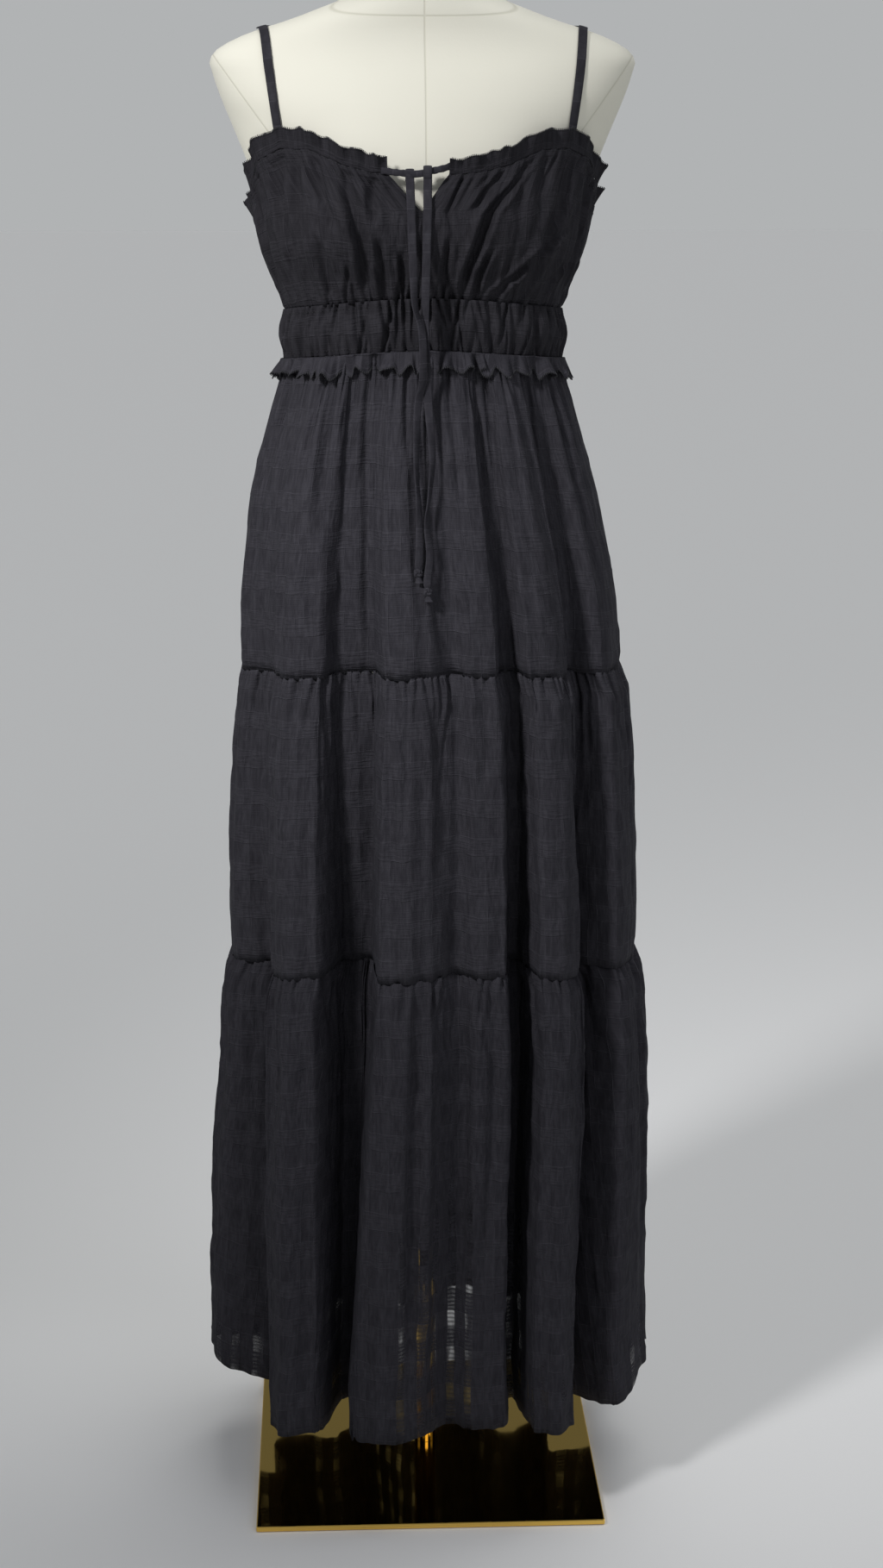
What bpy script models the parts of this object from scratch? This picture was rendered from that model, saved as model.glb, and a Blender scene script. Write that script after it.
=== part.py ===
# Tiered maxi dress with thin straps, a ruffled drawstring neckline, a shirred underbust band and three
# gathered skirt tiers, worn by a limbless dress form on a pole and a square plate.
# Metres, +Z up, the floor at zero and the pole's axis on the Z axis. The front faces -Y.
# Angles go round the body in degrees: 0 at the front, 90 at the side towards +X, 180 at the back.
import math
from functools import lru_cache, partial

import bmesh
import bpy
from mathutils import Vector

# Cloth
WALL = 0.0014  # thickness of the gathered cotton, with its crinkle
SEAM_GAP = 0.0004  # space between two pieces that are sewn together
SIDE_SEAM = 90.0  # angle of the side seams
COLUMNS_PER_WAVE = 4
OUTLINE_SAMPLES = 360  # steps along a panel in which its outline's length is measured
TRIM_RADIUS = 0.13  # radius at which a side seam's gap becomes an angle
FRONT_BLEND = 0.5  # cosine of the angle from the front at which the bust's swell is whole

# Heights of the horizontal seams at the side of the body
BAND_TOP = 1.189
BAND_BOTTOM = 1.142
SEAM_ONE = 0.845  # between the first and second tiers
SEAM_TWO = 0.550  # between the second and third tiers
HEM = 0.088

# Gathers and ruffle waves of each piece
FRONT_BODICE_WAVES = 7
BACK_BODICE_WAVES = 10
NECK_RUFFLE_WAVES = 6
BACK_RUFFLE_WAVES = 10
BAND_WAVES = 16
PEPLUM_WAVES = 11
TIER_WAVES = {"one": 10, "two": 12, "three": 13}

# How uneven the gathers are: each column's place along the panel, then each wave's size
COLUMN_SHIFT = 0.28
COLUMN_TURN = 2.1
WAVE_SIZE = 0.78
WAVE_CHANGE = 0.22
WAVE_TURN = 1.9
SEEDS = {"bodice": 1.1, "ruffle": 0.7, "band": 0.4, "peplum": 2.0, "one": 0.3, "two": 1.7, "three": 2.9}

# Stand
BASE_WIDTH = 0.350
BASE_THICKNESS = 0.006
BASE_BEVEL = 0.0012
POLE_RADIUS = 0.011
POLE_SIDES = 24
POLE_SHARP_ANGLE = 40.0
TOUCH_GAP = 0.0003

# Sections of the form: height, half width, depth in front of the axis, depth behind it, and how square the
# section is, where 2 is an ellipse
FORM_SECTIONS = (
    (0.740, 0.150, 0.098, 0.112, 2.3),
    (0.746, 0.154, 0.101, 0.116, 2.3),
    (0.800, 0.161, 0.106, 0.124, 2.3),
    (0.870, 0.164, 0.108, 0.128, 2.3),
    (0.940, 0.158, 0.106, 0.121, 2.3),
    (1.000, 0.147, 0.102, 0.106, 2.3),
    (1.050, 0.133, 0.097, 0.092, 2.3),
    (1.100, 0.1235, 0.092, 0.082, 2.3),
    (1.150, 0.1225, 0.090, 0.079, 2.3),
    (1.190, 0.1260, 0.092, 0.081, 2.3),
    (1.225, 0.1385, 0.096, 0.085, 2.3),
    (1.260, 0.1475, 0.099, 0.089, 2.3),
    (1.300, 0.1550, 0.101, 0.093, 2.3),
    (1.335, 0.1660, 0.100, 0.095, 2.3),
    (1.365, 0.1780, 0.096, 0.094, 2.4),
    (1.390, 0.1880, 0.089, 0.090, 2.8),
    (1.410, 0.1945, 0.080, 0.084, 3.1),
    (1.423, 0.1970, 0.072, 0.078, 3.3),
    (1.432, 0.1900, 0.067, 0.074, 3.3),
    (1.440, 0.1760, 0.064, 0.071, 3.2),
    (1.449, 0.1537, 0.062, 0.069, 3.0),
    (1.458, 0.1240, 0.062, 0.069, 2.8),
    (1.467, 0.1000, 0.062, 0.069, 2.5),
    (1.476, 0.0770, 0.060, 0.067, 2.3),
    (1.485, 0.0665, 0.057, 0.063, 2.3),
    (1.502, 0.0605, 0.055, 0.059, 2.3),
    (1.535, 0.0575, 0.054, 0.057, 2.3),
)
FORM_SIDES = 32
DRESS_SQUARENESS = 2.3

# Bust: two soft mounds added in front of the sections
BUST_HEIGHT = 1.275
BUST_FROM_CENTRE = 0.078
BUST_WIDTH = 0.045
BUST_RISE = 0.050
BUST_DEPTH = 0.022
BUST_BRIDGE = 0.055  # cloth spans the space between the mounds from this far out

# Sections of the dress: height, half width, front, back, shift to +X, how far the front is lifted by the bust
DRESS_SECTIONS = (
    (0.088, 0.2280, 0.176, 0.196, 0.006, 0.015),
    (0.124, 0.2272, 0.175, 0.194, 0.005, 0.016),
    (0.222, 0.2240, 0.172, 0.189, 0.007, 0.019),
    (0.319, 0.2235, 0.170, 0.185, 0.008, 0.022),
    (0.367, 0.2205, 0.169, 0.183, 0.010, 0.025),
    (0.461, 0.2160, 0.167, 0.180, 0.012, 0.025),
    (0.508, 0.2136, 0.166, 0.178, 0.011, 0.025),
    (0.531, 0.2112, 0.165, 0.177, 0.011, 0.025),
    (0.550, 0.2035, 0.160, 0.172, 0.011, 0.025),
    (0.600, 0.2045, 0.159, 0.171, 0.011, 0.024),
    (0.690, 0.2020, 0.156, 0.168, 0.010, 0.023),
    (0.779, 0.1972, 0.152, 0.163, 0.010, 0.022),
    (0.823, 0.1925, 0.150, 0.159, 0.010, 0.021),
    (0.845, 0.1865, 0.145, 0.154, 0.008, 0.021),
    (0.909, 0.1835, 0.140, 0.149, 0.006, 0.021),
    (0.952, 0.1780, 0.134, 0.141, 0.004, 0.020),
    (1.015, 0.1678, 0.123, 0.126, 0.001, 0.020),
    (1.057, 0.1567, 0.116, 0.112, 0.000, 0.020),
    (1.098, 0.1452, 0.108, 0.099, 0.000, 0.020),
    (1.119, 0.1387, 0.103, 0.093, 0.000, 0.020),
    (1.142, 0.1325, 0.099, 0.088, 0.000, 0.020),
    (1.165, 0.1345, 0.101, 0.090, 0.000, 0.021),
    (1.189, 0.1322, 0.101, 0.089, 0.000, 0.022),
    (1.205, 0.1370, 0.104, 0.091, 0.000, 0.022),
    (1.225, 0.1455, 0.107, 0.094, 0.000, 0.020),
    (1.245, 0.1525, 0.109, 0.097, 0.000, 0.016),
    (1.265, 0.1570, 0.1105, 0.099, 0.000, 0.010),
    (1.290, 0.1610, 0.1105, 0.101, 0.000, 0.000),
    (1.320, 0.1665, 0.1085, 0.102, 0.000, 0.000),
    (1.345, 0.1740, 0.1055, 0.102, 0.000, 0.000),
    (1.370, 0.1830, 0.1030, 0.102, 0.000, 0.000),
)

# Heights at which the fold table gives each fold's depth: band, first tier, first seam, second tier, second
# seam, third tier, hem
FOLD_HEIGHTS = (1.142, 0.990, 0.845, 0.690, 0.550, 0.310, 0.088)

# Skirt folds: angle at the band, angle at the hem, then the outward offset in mm at each fold height.
# Ridges and valleys take turns round the skirt.
FOLDS = (
    (-90, -90, (0, 0, 0, 0, 0, 0, 0)),
    (-77, -83, (0, 1, 2, 2, 2, 2, 2)),
    (-62, -70, (0, -7, -10, -14, -22, -34, -50)),
    (-51, -46, (0, 2, 3, 4, 6, 8, 10)),
    (-34, -30, (0, -12, -22, -32, -48, -50, -60)),
    (-21, -18, (0, 4, 4, 5, 7, 10, 13)),
    (-7, -10, (0, 1, 3, 4, 4, 2, -3)),
    (6, -3, (0, -3, -6, -8, -9, -10, -14)),
    (17, 11, (0, 1, 2, 3, 4, 1, -6)),
    (30, 23, (0, -7, -14, -24, -40, -44, -56)),
    (40, 36, (0, 3, 4, 5, 6, 8, 9)),
    (52, 60, (0, -7, -11, -15, -24, -34, -48)),
    (66, 75, (0, 2, 3, 4, 4, 5, 6)),
    (79, 85, (0, -1, -2, -2, -2, -1, -1)),
    (90, 90, (0, 0, 0, 0, 0, 0, 0)),
    (103, 105, (0, -4, -7, -10, -13, -15, -18)),
    (116, 118, (0, 2, 3, 4, 5, 6, 8)),
    (131, 133, (0, -7, -12, -18, -27, -36, -46)),
    (144, 143, (0, 2, 4, 4, 5, 7, 9)),
    (157, 155, (0, -6, -9, -13, -18, -20, -24)),
    (169, 168, (0, 2, 3, 5, 5, 6, 8)),
    (184, 185, (0, -8, -14, -21, -32, -40, -52)),
    (197, 199, (0, 3, 4, 4, 6, 8, 10)),
    (210, 211, (0, -5, -8, -10, -14, -18, -24)),
    (224, 226, (0, 2, 3, 5, 6, 6, 8)),
    (240, 239, (0, -7, -12, -17, -25, -34, -44)),
    (255, 254, (0, 2, 3, 3, 4, 5, 7)),
    (270, 270, (0, 0, 0, 0, 0, 0, 0)),
)

# Bodice folds: angle at the band, angle at the neckline, outward offset in millimetres halfway up
BODICE_FOLDS = (
    (0, 0, -1.5),
    (9, 14, 1.5),
    (19, 30, -2.5),
    (30, 42, 2.0),
    (42, 52, -2.5),
    (54, 60, 1.5),
    (66, 70, -2.0),
    (78, 79, 1.5),
    (90, 90, -1.0),
    (108, 106, 1.5),
    (128, 125, -1.5),
    (150, 152, 1.5),
    (180, 180, -1.0),
)

# Neckline: angle, height of the casing seam, height of the ruffle's free edge
NECKLINE = (
    (0, 1.3220, 1.3340),
    (14, 1.3220, 1.3340),
    (25, 1.3235, 1.3390),
    (37, 1.3300, 1.3460),
    (50, 1.3435, 1.3605),
    (60, 1.3440, 1.3615),
    (70, 1.3330, 1.3510),
    (80, 1.3060, 1.3220),
    (92, 1.2770, 1.2930),
    (110, 1.2620, 1.2770),
    (140, 1.2580, 1.2730),
    (180, 1.2570, 1.2720),
)

# Keyhole at the centre front
NOTCH_HEIGHT = 1.289
NOTCH_LEFT = -13.0  # angle of the notch's upper corners
NOTCH_RIGHT = 16.0
CENTRE_SEAM = 0.15  # half the angle between the two fronts below the notch

# Rows of each piece, as shares of its height from its upper edge, or metres below the seam for the tiers
BODICE_ROWS = (0.0, 0.10, 0.28, 0.52, 0.76, 0.92, 1.0)
BAND_ROWS = (0.0, 0.5, 1.0)
RUFFLE_ROWS = (0.0, 1.0)
TIER_ROWS = {
    "one": (0.0, 0.010, 0.035, 0.100, 0.190),
    "two": (0.0, 0.010, 0.032, 0.090, 0.180),
    "three": (0.0, 0.010, 0.032, 0.110, 0.260),
}
GATHER_REACH = 0.022  # how far below its seam a tier's gathers are fullest
TIER_GUIDE = 0.6  # share of a tier's drop at which its outline's length is shared among the columns
TIER_GATHER = {"one": 0.0024, "two": 0.0036, "three": 0.0038}
BODICE_GATHER = 0.0018
BODICE_TOP_REACH = 0.12  # share of the bodice's height at which its gathers are fullest, from above
BODICE_FOOT_REACH = 0.16  # and from below
BAND_GATHER = 0.0022
PEPLUM_DROP = (0.0, 0.005, 0.024)
PEPLUM_STAND = (0.0026, 0.0044, 0.0110)  # how far the peplum stands off the first tier at each drop
PEPLUM_WAVE = 0.0045
PEPLUM_SPREAD = 1.5  # power by which its waves grow towards the free edge
PEPLUM_HANG = 0.003  # how unevenly its free edge hangs
PEPLUM_HANG_TURN = 1.3
NECK_WAVE = 0.0030
ARMHOLE_WAVE = 0.0052  # the ruffle is fuller where it turns round the armholes
ARMHOLE_ANGLE = 88.0
ARMHOLE_SPAN = 12.0  # to each side of the armhole's angle, in degrees
NECK_LEAN = 0.0035
NECK_JAG = 0.0018  # how uneven the ruffle's free edge is
NECK_JAG_TURN = 2.6

# Straps
STRAP_WIDTH = 0.0085
STRAP_THICKNESS = 0.0014
STRAP_CLEARANCE = 0.0008
STRAP_CENTRE_HEIGHT = 1.380
# Angle of a ray in the strap's plane, from the front foot over the shoulder to the back foot, and the
# strap's distance from the middle of the body there
STRAP_ROUTE = (
    (-31.0, 0.1315),
    (30.0, 0.1420),
    (90.0, 0.1500),
    (160.0, 0.1330),
    (234.0, 0.1080),
)
STRAP_STEPS = 40
STRAP_FOOT_LIFT = 0.0026  # the sewn ends leave the form to meet the inside of the bodice
STRAP_FOOT_SHARE = 0.12
SEARCH_REACH = 0.25  # the form's skin is looked for within this distance of a strap's centre
SEARCH_STEPS = 40

# Drawstring and its two free ends
STRING_RADIUS = 0.0028
TIE_RADIUS = 0.0025
TIE_STEP = 0.014
STRING_STEP = 0.0047
KNOT_CENTRE = (0.0045, -0.1160, 1.3235)
KNOT_SIZE = (0.0115, 0.0042, 0.0065)
STRING_LEFT = ((-0.0240, -0.1156, 1.3245), (-0.0160, -0.1159, 1.3235), (-0.0074, -0.1160, 1.3228))
STRING_RIGHT = ((0.0299, -0.1156, 1.3275), (0.0235, -0.1159, 1.3262), (0.0162, -0.1160, 1.3242))
TIE_LEFT = (
    (-0.0035, -0.1168, 1.3177),
    (-0.0032, -0.1240, 1.3050),
    (-0.0028, -0.1290, 1.2900),
    (-0.0023, -0.1292, 1.2750),
    (-0.0018, -0.1288, 1.2600),
    (-0.0008, -0.1280, 1.2300),
    (0.0005, -0.1275, 1.2050),
    (0.0062, -0.1270, 1.1850),
    (0.0080, -0.1265, 1.1600),
    (0.0070, -0.1260, 1.1350),
    (0.0032, -0.1255, 1.1150),
    (0.0016, -0.1253, 1.0900),
    (0.0014, -0.1262, 1.0550),
    (0.0034, -0.1290, 1.0200),
    (0.0034, -0.1344, 0.9850),
    (0.0008, -0.1386, 0.9550),
)
TIE_RIGHT = (
    (0.0125, -0.1168, 1.3177),
    (0.0122, -0.1240, 1.3050),
    (0.0120, -0.1295, 1.2900),
    (0.0116, -0.1296, 1.2750),
    (0.0112, -0.1290, 1.2600),
    (0.0104, -0.1266, 1.2300),
    (0.0100, -0.1232, 1.2050),
    (0.0104, -0.1205, 1.1850),
    (0.0110, -0.1200, 1.1600),
    (0.0120, -0.1200, 1.1350),
    (0.0136, -0.1212, 1.1050),
    (0.0162, -0.1238, 1.0700),
    (0.0140, -0.1256, 1.0400),
    (0.0104, -0.1298, 1.0100),
    (0.0130, -0.1342, 0.9800),
    (0.0106, -0.1374, 0.9550),
    (0.0128, -0.1398, 0.9280),
)

COLOURS = {
    "cloth": ((0.016, 0.017, 0.022), 0.85, 0.0),
    "form": ((0.680, 0.660, 0.580), 0.80, 0.0),
    "metal": ((0.560, 0.400, 0.180), 0.15, 1.0),
}


def mix(start, end, share):
    return start + (end - start) * share


def smooth(share):
    share = min(1.0, max(0.0, share))
    return share * share * (3.0 - 2.0 * share)


def table_at(table, key):
    """The other columns of a table whose first column rises, read at a key between two rows."""
    if key <= table[0][0]:
        return table[0][1:]
    for low, high in zip(table, table[1:]):
        if key <= high[0]:
            share = (key - low[0]) / (high[0] - low[0])
            return tuple(mix(a, b, share) for a, b in zip(low[1:], high[1:]))
    return table[-1][1:]


def section_radius(angle, half_width, front, back, squareness=DRESS_SQUARENESS):
    side = abs(math.sin(angle)) / half_width
    depth = abs(math.cos(angle)) / (front if math.cos(angle) > 0 else back)
    return (side**squareness + depth**squareness) ** (-1 / squareness)


def bust_at(x, height, bridged):
    reach = max(abs(x), BUST_BRIDGE) if bridged else abs(x)
    across = (reach - BUST_FROM_CENTRE) / BUST_WIDTH
    along = (height - BUST_HEIGHT) / BUST_RISE
    return BUST_DEPTH * math.exp(-across * across - along * along)


def front_share(angle):
    return smooth(math.cos(angle) / FRONT_BLEND)


@lru_cache(maxsize=None)
def folds_at(height):
    """Angle and offset of every skirt fold at one height."""
    down = (FOLD_HEIGHTS[0] - height) / (FOLD_HEIGHTS[0] - FOLD_HEIGHTS[-1])
    down = min(1.0, max(0.0, down))
    levels = tuple((level, index) for index, level in enumerate(FOLD_HEIGHTS))
    rising = tuple(reversed(levels))
    (place,) = table_at(rising, height)
    upper = min(int(place), len(FOLD_HEIGHTS) - 2)
    share = place - upper
    return tuple(
        (mix(at_band, at_hem, down), mix(depths[upper], depths[upper + 1], share) / 1000)
        for at_band, at_hem, depths in FOLDS
    )


def between_folds(folds, degrees):
    """Smooth wave through the folds' ridges and valleys."""
    for (low, low_depth), (high, high_depth) in zip(folds, folds[1:]):
        if degrees <= high:
            share = (degrees - low) / (high - low)
            return mix(low_depth, high_depth, 0.5 - 0.5 * math.cos(math.pi * share))
    return folds[-1][1]


def skirt_shape(degrees, height):
    """Point of the skirt in plan, large folds included, at a height named by the side of the body."""
    half_width, front, back, shift, _ = table_at(DRESS_SECTIONS, height)
    angle = math.radians(degrees)
    turn = (degrees + 90.0) % 360.0 - 90.0
    radius = section_radius(angle, half_width, front, back) + between_folds(folds_at(height), turn)
    return Vector((radius * math.sin(angle) + shift, -radius * math.cos(angle), 0.0))


def body_shape(degrees, height, true_height):
    """Point of the band or bodice in plan, with the bust."""
    half_width, front, back, shift, _ = table_at(DRESS_SECTIONS, height)
    angle = math.radians(degrees)
    radius = section_radius(angle, half_width, front, back)
    x = radius * math.sin(angle)
    swell = bust_at(x, true_height, True) * front_share(angle)
    return Vector((x + shift, -radius * math.cos(angle) - swell, 0.0))


def lift_at(degrees, height):
    """How much higher a seam lies at this angle than at the side."""
    lift = table_at(DRESS_SECTIONS, height)[-1]
    return lift * (0.5 + 0.5 * math.cos(math.radians(degrees))) ** 2


def moved_out(shape, degrees, offset):
    """Point of a plan outline moved along the outline's own outward normal."""
    step = 0.2
    ahead = shape(degrees + step)
    behind = shape(degrees - step)
    along = (ahead - behind).normalized()
    return shape(degrees) + Vector((along.y, -along.x, 0.0)) * offset


def even_angles(shape, start, end, columns, seed):
    """Angles that share an outline's length among the columns, a little unevenly."""
    angles = [mix(start, end, index / OUTLINE_SAMPLES) for index in range(OUTLINE_SAMPLES + 1)]
    points = [shape(angle) for angle in angles]
    lengths = [0.0]
    for before, after in zip(points, points[1:]):
        lengths.append(lengths[-1] + (after - before).length)
    chosen = []
    for column in range(columns + 1):
        uneven = COLUMN_SHIFT * math.sin(COLUMN_TURN * column + seed) if 0 < column < columns else 0.0
        wanted = lengths[-1] * (column + uneven) / columns
        after = next((index for index, length in enumerate(lengths) if length >= wanted), OUTLINE_SAMPLES)
        after = max(1, after)
        share = (wanted - lengths[after - 1]) / (lengths[after] - lengths[after - 1])
        chosen.append(mix(angles[after - 1], angles[after], min(1.0, share)))
    return chosen


def wave_at(column, seed):
    """Height of a gather at a column: four columns make one wave, and no two waves are alike."""
    wave = column // COLUMNS_PER_WAVE
    size = WAVE_SIZE + WAVE_CHANGE * math.sin(WAVE_TURN * wave + seed)
    return size * math.sin(column * 2 * math.pi / COLUMNS_PER_WAVE)


def gather_at(drop, reach):
    """Strength of the gathers at a distance from their seam, fullest one reach away."""
    return drop / reach * math.exp(1 - drop / reach)


def make_material(name):
    colour, roughness, metallic = COLOURS[name]
    material = bpy.data.materials.new(name)
    material.use_nodes = True
    shader = material.node_tree.nodes["Principled BSDF"]
    shader.inputs["Base Color"].default_value = (*colour, 1.0)
    shader.inputs["Roughness"].default_value = roughness
    shader.inputs["Metallic"].default_value = metallic
    return material


def finish(piece, name, material):
    piece.name = name
    piece.data.name = name
    piece.data.materials.append(material)
    for holder in list(piece.users_collection):
        holder.objects.unlink(piece)
    parts.objects.link(piece)
    return piece


def cloth(name, columns, rows, place, thickness=WALL):
    """Sheet of cloth: a grid whose crossings are placed by a function, thickened to a wall."""
    bpy.ops.mesh.primitive_grid_add(x_subdivisions=columns, y_subdivisions=rows, size=1.0)
    sheet = bpy.context.object
    for vertex in sheet.data.vertices:
        column = round((vertex.co.x + 0.5) * columns)
        row = round((0.5 - vertex.co.y) * rows)
        vertex.co = place(column, row)
    wall = sheet.modifiers.new("wall", "SOLIDIFY")
    wall.thickness = thickness
    wall.offset = 0.0
    sheet.data.shade_smooth()
    return finish(sheet, name, materials["cloth"])


def tube(name, route, radius, step):
    """Round string along a smooth curve through the route's points."""
    points = smooth_route(route, step)
    curve = bpy.data.curves.new(name, "CURVE")
    curve.dimensions = "3D"
    curve.bevel_depth = radius
    curve.bevel_resolution = 2
    curve.use_fill_caps = True
    spline = curve.splines.new("POLY")
    spline.points.add(len(points) - 1)
    for target, point in zip(spline.points, points):
        target.co = (*point, 1.0)
    string = bpy.data.objects.new(name, curve)
    bpy.context.scene.collection.objects.link(string)
    return finish(string, name, materials["cloth"])


def smooth_route(route, step):
    """Points about one step apart on a curve that passes through every point of the route."""
    knots = [Vector(point) for point in route]
    knots = [2 * knots[0] - knots[1], *knots, 2 * knots[-1] - knots[-2]]
    points = [knots[1]]
    for before, start, end, after in zip(knots, knots[1:], knots[2:], knots[3:]):
        pieces = max(1, round((end - start).length / step))
        for piece in range(1, pieces + 1):
            share = piece / pieces
            points.append(
                0.5
                * (
                    2 * start
                    + (end - before) * share
                    + (2 * before - 5 * start + 4 * end - after) * share**2
                    + (3 * start - before - 3 * end + after) * share**3
                )
            )
    return points


def panel_angles(side):
    """First and last angle of a front or back panel, a seam's gap short of the side seams."""
    trim = math.degrees(SEAM_GAP / 2 / TRIM_RADIUS)
    if side == "front":
        return -SIDE_SEAM + trim, SIDE_SEAM - trim
    return SIDE_SEAM + trim, 360.0 - SIDE_SEAM - trim


def make_tier(number, top, bottom):
    seed = SEEDS[number]
    drops = (*TIER_ROWS[number], top - bottom)
    waves = TIER_WAVES[number]
    columns = waves * COLUMNS_PER_WAVE
    guide = mix(top, bottom, TIER_GUIDE)
    for side in ("front", "back"):
        start, end = panel_angles(side)
        angles = even_angles(partial(skirt_shape, height=guide), start, end, columns, seed)

        def place(column, row, angles=angles):
            drop = drops[row]
            height = top - drop
            last = row == len(drops) - 1
            strength = 0.0 if last else gather_at(drop, GATHER_REACH)
            offset = TIER_GATHER[number] * strength * wave_at(column, seed)
            point = moved_out(partial(skirt_shape, height=height), angles[column], offset)
            trim = SEAM_GAP / 2 * ((row == 0) - last)
            point.z = height + lift_at(angles[column], height) - trim
            return point

        cloth(f"tier_{number}_{side}", columns, len(drops) - 1, place)


def make_band():
    seed = SEEDS["band"]
    columns = BAND_WAVES * COLUMNS_PER_WAVE
    for side in ("front", "back"):
        start, end = panel_angles(side)
        outline = partial(body_shape, height=BAND_TOP, true_height=BAND_TOP)
        angles = even_angles(outline, start, end, columns, seed)

        def place(column, row, angles=angles):
            share = BAND_ROWS[row]
            height = mix(BAND_TOP, BAND_BOTTOM, share)
            true_height = height + lift_at(angles[column], height)
            offset = BAND_GATHER * math.sin(math.pi * share) * wave_at(column, seed)
            level = partial(body_shape, height=height, true_height=true_height)
            point = moved_out(level, angles[column], offset)
            trim = SEAM_GAP / 2 * ((share == 0.0) - (share == 1.0))
            point.z = true_height - trim
            return point

        cloth(f"waistband_{side}", columns, len(BAND_ROWS) - 1, place)


def make_peplum():
    seed = SEEDS["peplum"]
    columns = PEPLUM_WAVES * COLUMNS_PER_WAVE
    for side in ("front", "back"):
        start, end = panel_angles(side)
        angles = even_angles(partial(skirt_shape, height=BAND_BOTTOM), start, end, columns, seed)

        def place(column, row, angles=angles):
            drop = PEPLUM_DROP[row]
            height = BAND_BOTTOM - drop
            fullness = (drop / PEPLUM_DROP[-1]) ** PEPLUM_SPREAD
            offset = PEPLUM_STAND[row] + PEPLUM_WAVE * fullness * wave_at(column, seed)
            point = moved_out(partial(skirt_shape, height=height), angles[column], offset)
            hang = PEPLUM_HANG * fullness * math.sin(PEPLUM_HANG_TURN * column)
            point.z = height + lift_at(angles[column], height) - 2 * SEAM_GAP + hang
            return point

        cloth(f"peplum_{side}", columns, len(PEPLUM_DROP) - 1, place)


def neck_heights(degrees):
    turn = abs((degrees + 180.0) % 360.0 - 180.0)
    return table_at(NECKLINE, turn)


def inner_angle(height, corner):
    """Angle of a front's inner edge: the centre seam, then the sloping side of the keyhole."""
    (top, _) = neck_heights(corner)
    share = max(0.0, (height - NOTCH_HEIGHT) / (top - NOTCH_HEIGHT))
    seam = math.copysign(CENTRE_SEAM, corner)
    return mix(seam, corner, min(1.0, share))


def bodice_fold(degrees, share):
    turn = abs((degrees + 180.0) % 360.0 - 180.0)
    folds = tuple((mix(at_neck, at_band, share), depth / 1000) for at_band, at_neck, depth in BODICE_FOLDS)
    return between_folds(folds, turn) * math.sin(math.pi * share)


def bodice_point(degrees, share, offset):
    """Point of the bodice at a share of the way down from the casing seam to the band."""
    (top, _) = neck_heights(degrees)
    bottom = BAND_TOP + lift_at(degrees, BAND_TOP)
    true_height = mix(top, bottom, share)
    height = true_height - lift_at(degrees, BAND_TOP) * smooth(share)
    point = moved_out(partial(body_shape, height=height, true_height=true_height), degrees, offset)
    point.z = true_height
    return point


def bodice_panels(front_waves, back_waves):
    """Name, outer angle, inner angle and waves of the three panels round the bodice."""
    left, right = panel_angles("front")
    back_start, back_end = panel_angles("back")
    return (
        ("left", left, NOTCH_LEFT, front_waves),
        ("right", right, NOTCH_RIGHT, front_waves),
        ("back", back_start, back_end, back_waves),
    )


def make_bodice():
    seed = SEEDS["bodice"]
    for name, outer, inner, waves in bodice_panels(FRONT_BODICE_WAVES, BACK_BODICE_WAVES):
        columns = waves * COLUMNS_PER_WAVE
        keyhole = name != "back"

        def place(column, row, outer=outer, inner=inner, columns=columns, keyhole=keyhole):
            share = BODICE_ROWS[row]
            edge = inner
            if keyhole:
                (top, _) = neck_heights(inner)
                edge = inner_angle(mix(top, BAND_TOP + lift_at(0.0, BAND_TOP), share), inner)
            across = column / columns
            degrees = mix(outer, edge, across)
            seams = gather_at(share, BODICE_TOP_REACH) + gather_at(1.0 - share, BODICE_FOOT_REACH)
            offset = BODICE_GATHER * seams * wave_at(column, seed) + bodice_fold(degrees, share)
            point = bodice_point(degrees, share, offset)
            point.z -= SEAM_GAP / 2 * ((share == 0.0) - (share == 1.0))
            return point

        piece = f"bodice_front_{name}" if keyhole else "bodice_back"
        sheet = cloth(piece, columns, len(BODICE_ROWS) - 1, place)
        if inner < outer:
            turn_over(sheet)


def turn_over(sheet):
    """Turns a sheet's faces the other way, for a sheet laid from right to left."""
    for face in sheet.data.polygons:
        face.flip()


def make_neck_ruffle():
    seed = SEEDS["ruffle"]
    for name, outer, inner, waves in bodice_panels(NECK_RUFFLE_WAVES, BACK_RUFFLE_WAVES):
        columns = waves * COLUMNS_PER_WAVE

        def place(column, row, outer=outer, inner=inner, columns=columns):
            share = RUFFLE_ROWS[row]
            degrees = mix(outer, inner, column / columns)
            casing, edge = neck_heights(degrees)
            turned = abs(abs((degrees + 180.0) % 360.0 - 180.0) - ARMHOLE_ANGLE)
            wave = mix(ARMHOLE_WAVE, NECK_WAVE, smooth(turned / ARMHOLE_SPAN - 1.0))
            offset = share * (NECK_LEAN + wave * wave_at(column, seed))
            point = bodice_point(degrees, 0.0, offset)
            jag = NECK_JAG * share * math.sin(NECK_JAG_TURN * column)
            point.z = mix(casing, edge, share) + 1.5 * SEAM_GAP + jag
            return point

        sheet = cloth(f"neck_ruffle_{name}", columns, len(RUFFLE_ROWS) - 1, place)
        if inner < outer:
            turn_over(sheet)


def inside_form(x, y, height):
    half_width, front, back, squareness = table_at(FORM_SECTIONS, height)
    if height > FORM_SECTIONS[-1][0] or abs(x) >= half_width:
        return False
    depth = front if y < 0 else back
    swell = bust_at(x, height, False) if y < 0 else 0.0
    reach = max(0.0, abs(y) - swell)
    return (abs(x) / half_width) ** squareness + (reach / depth) ** squareness < 1.0


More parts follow.
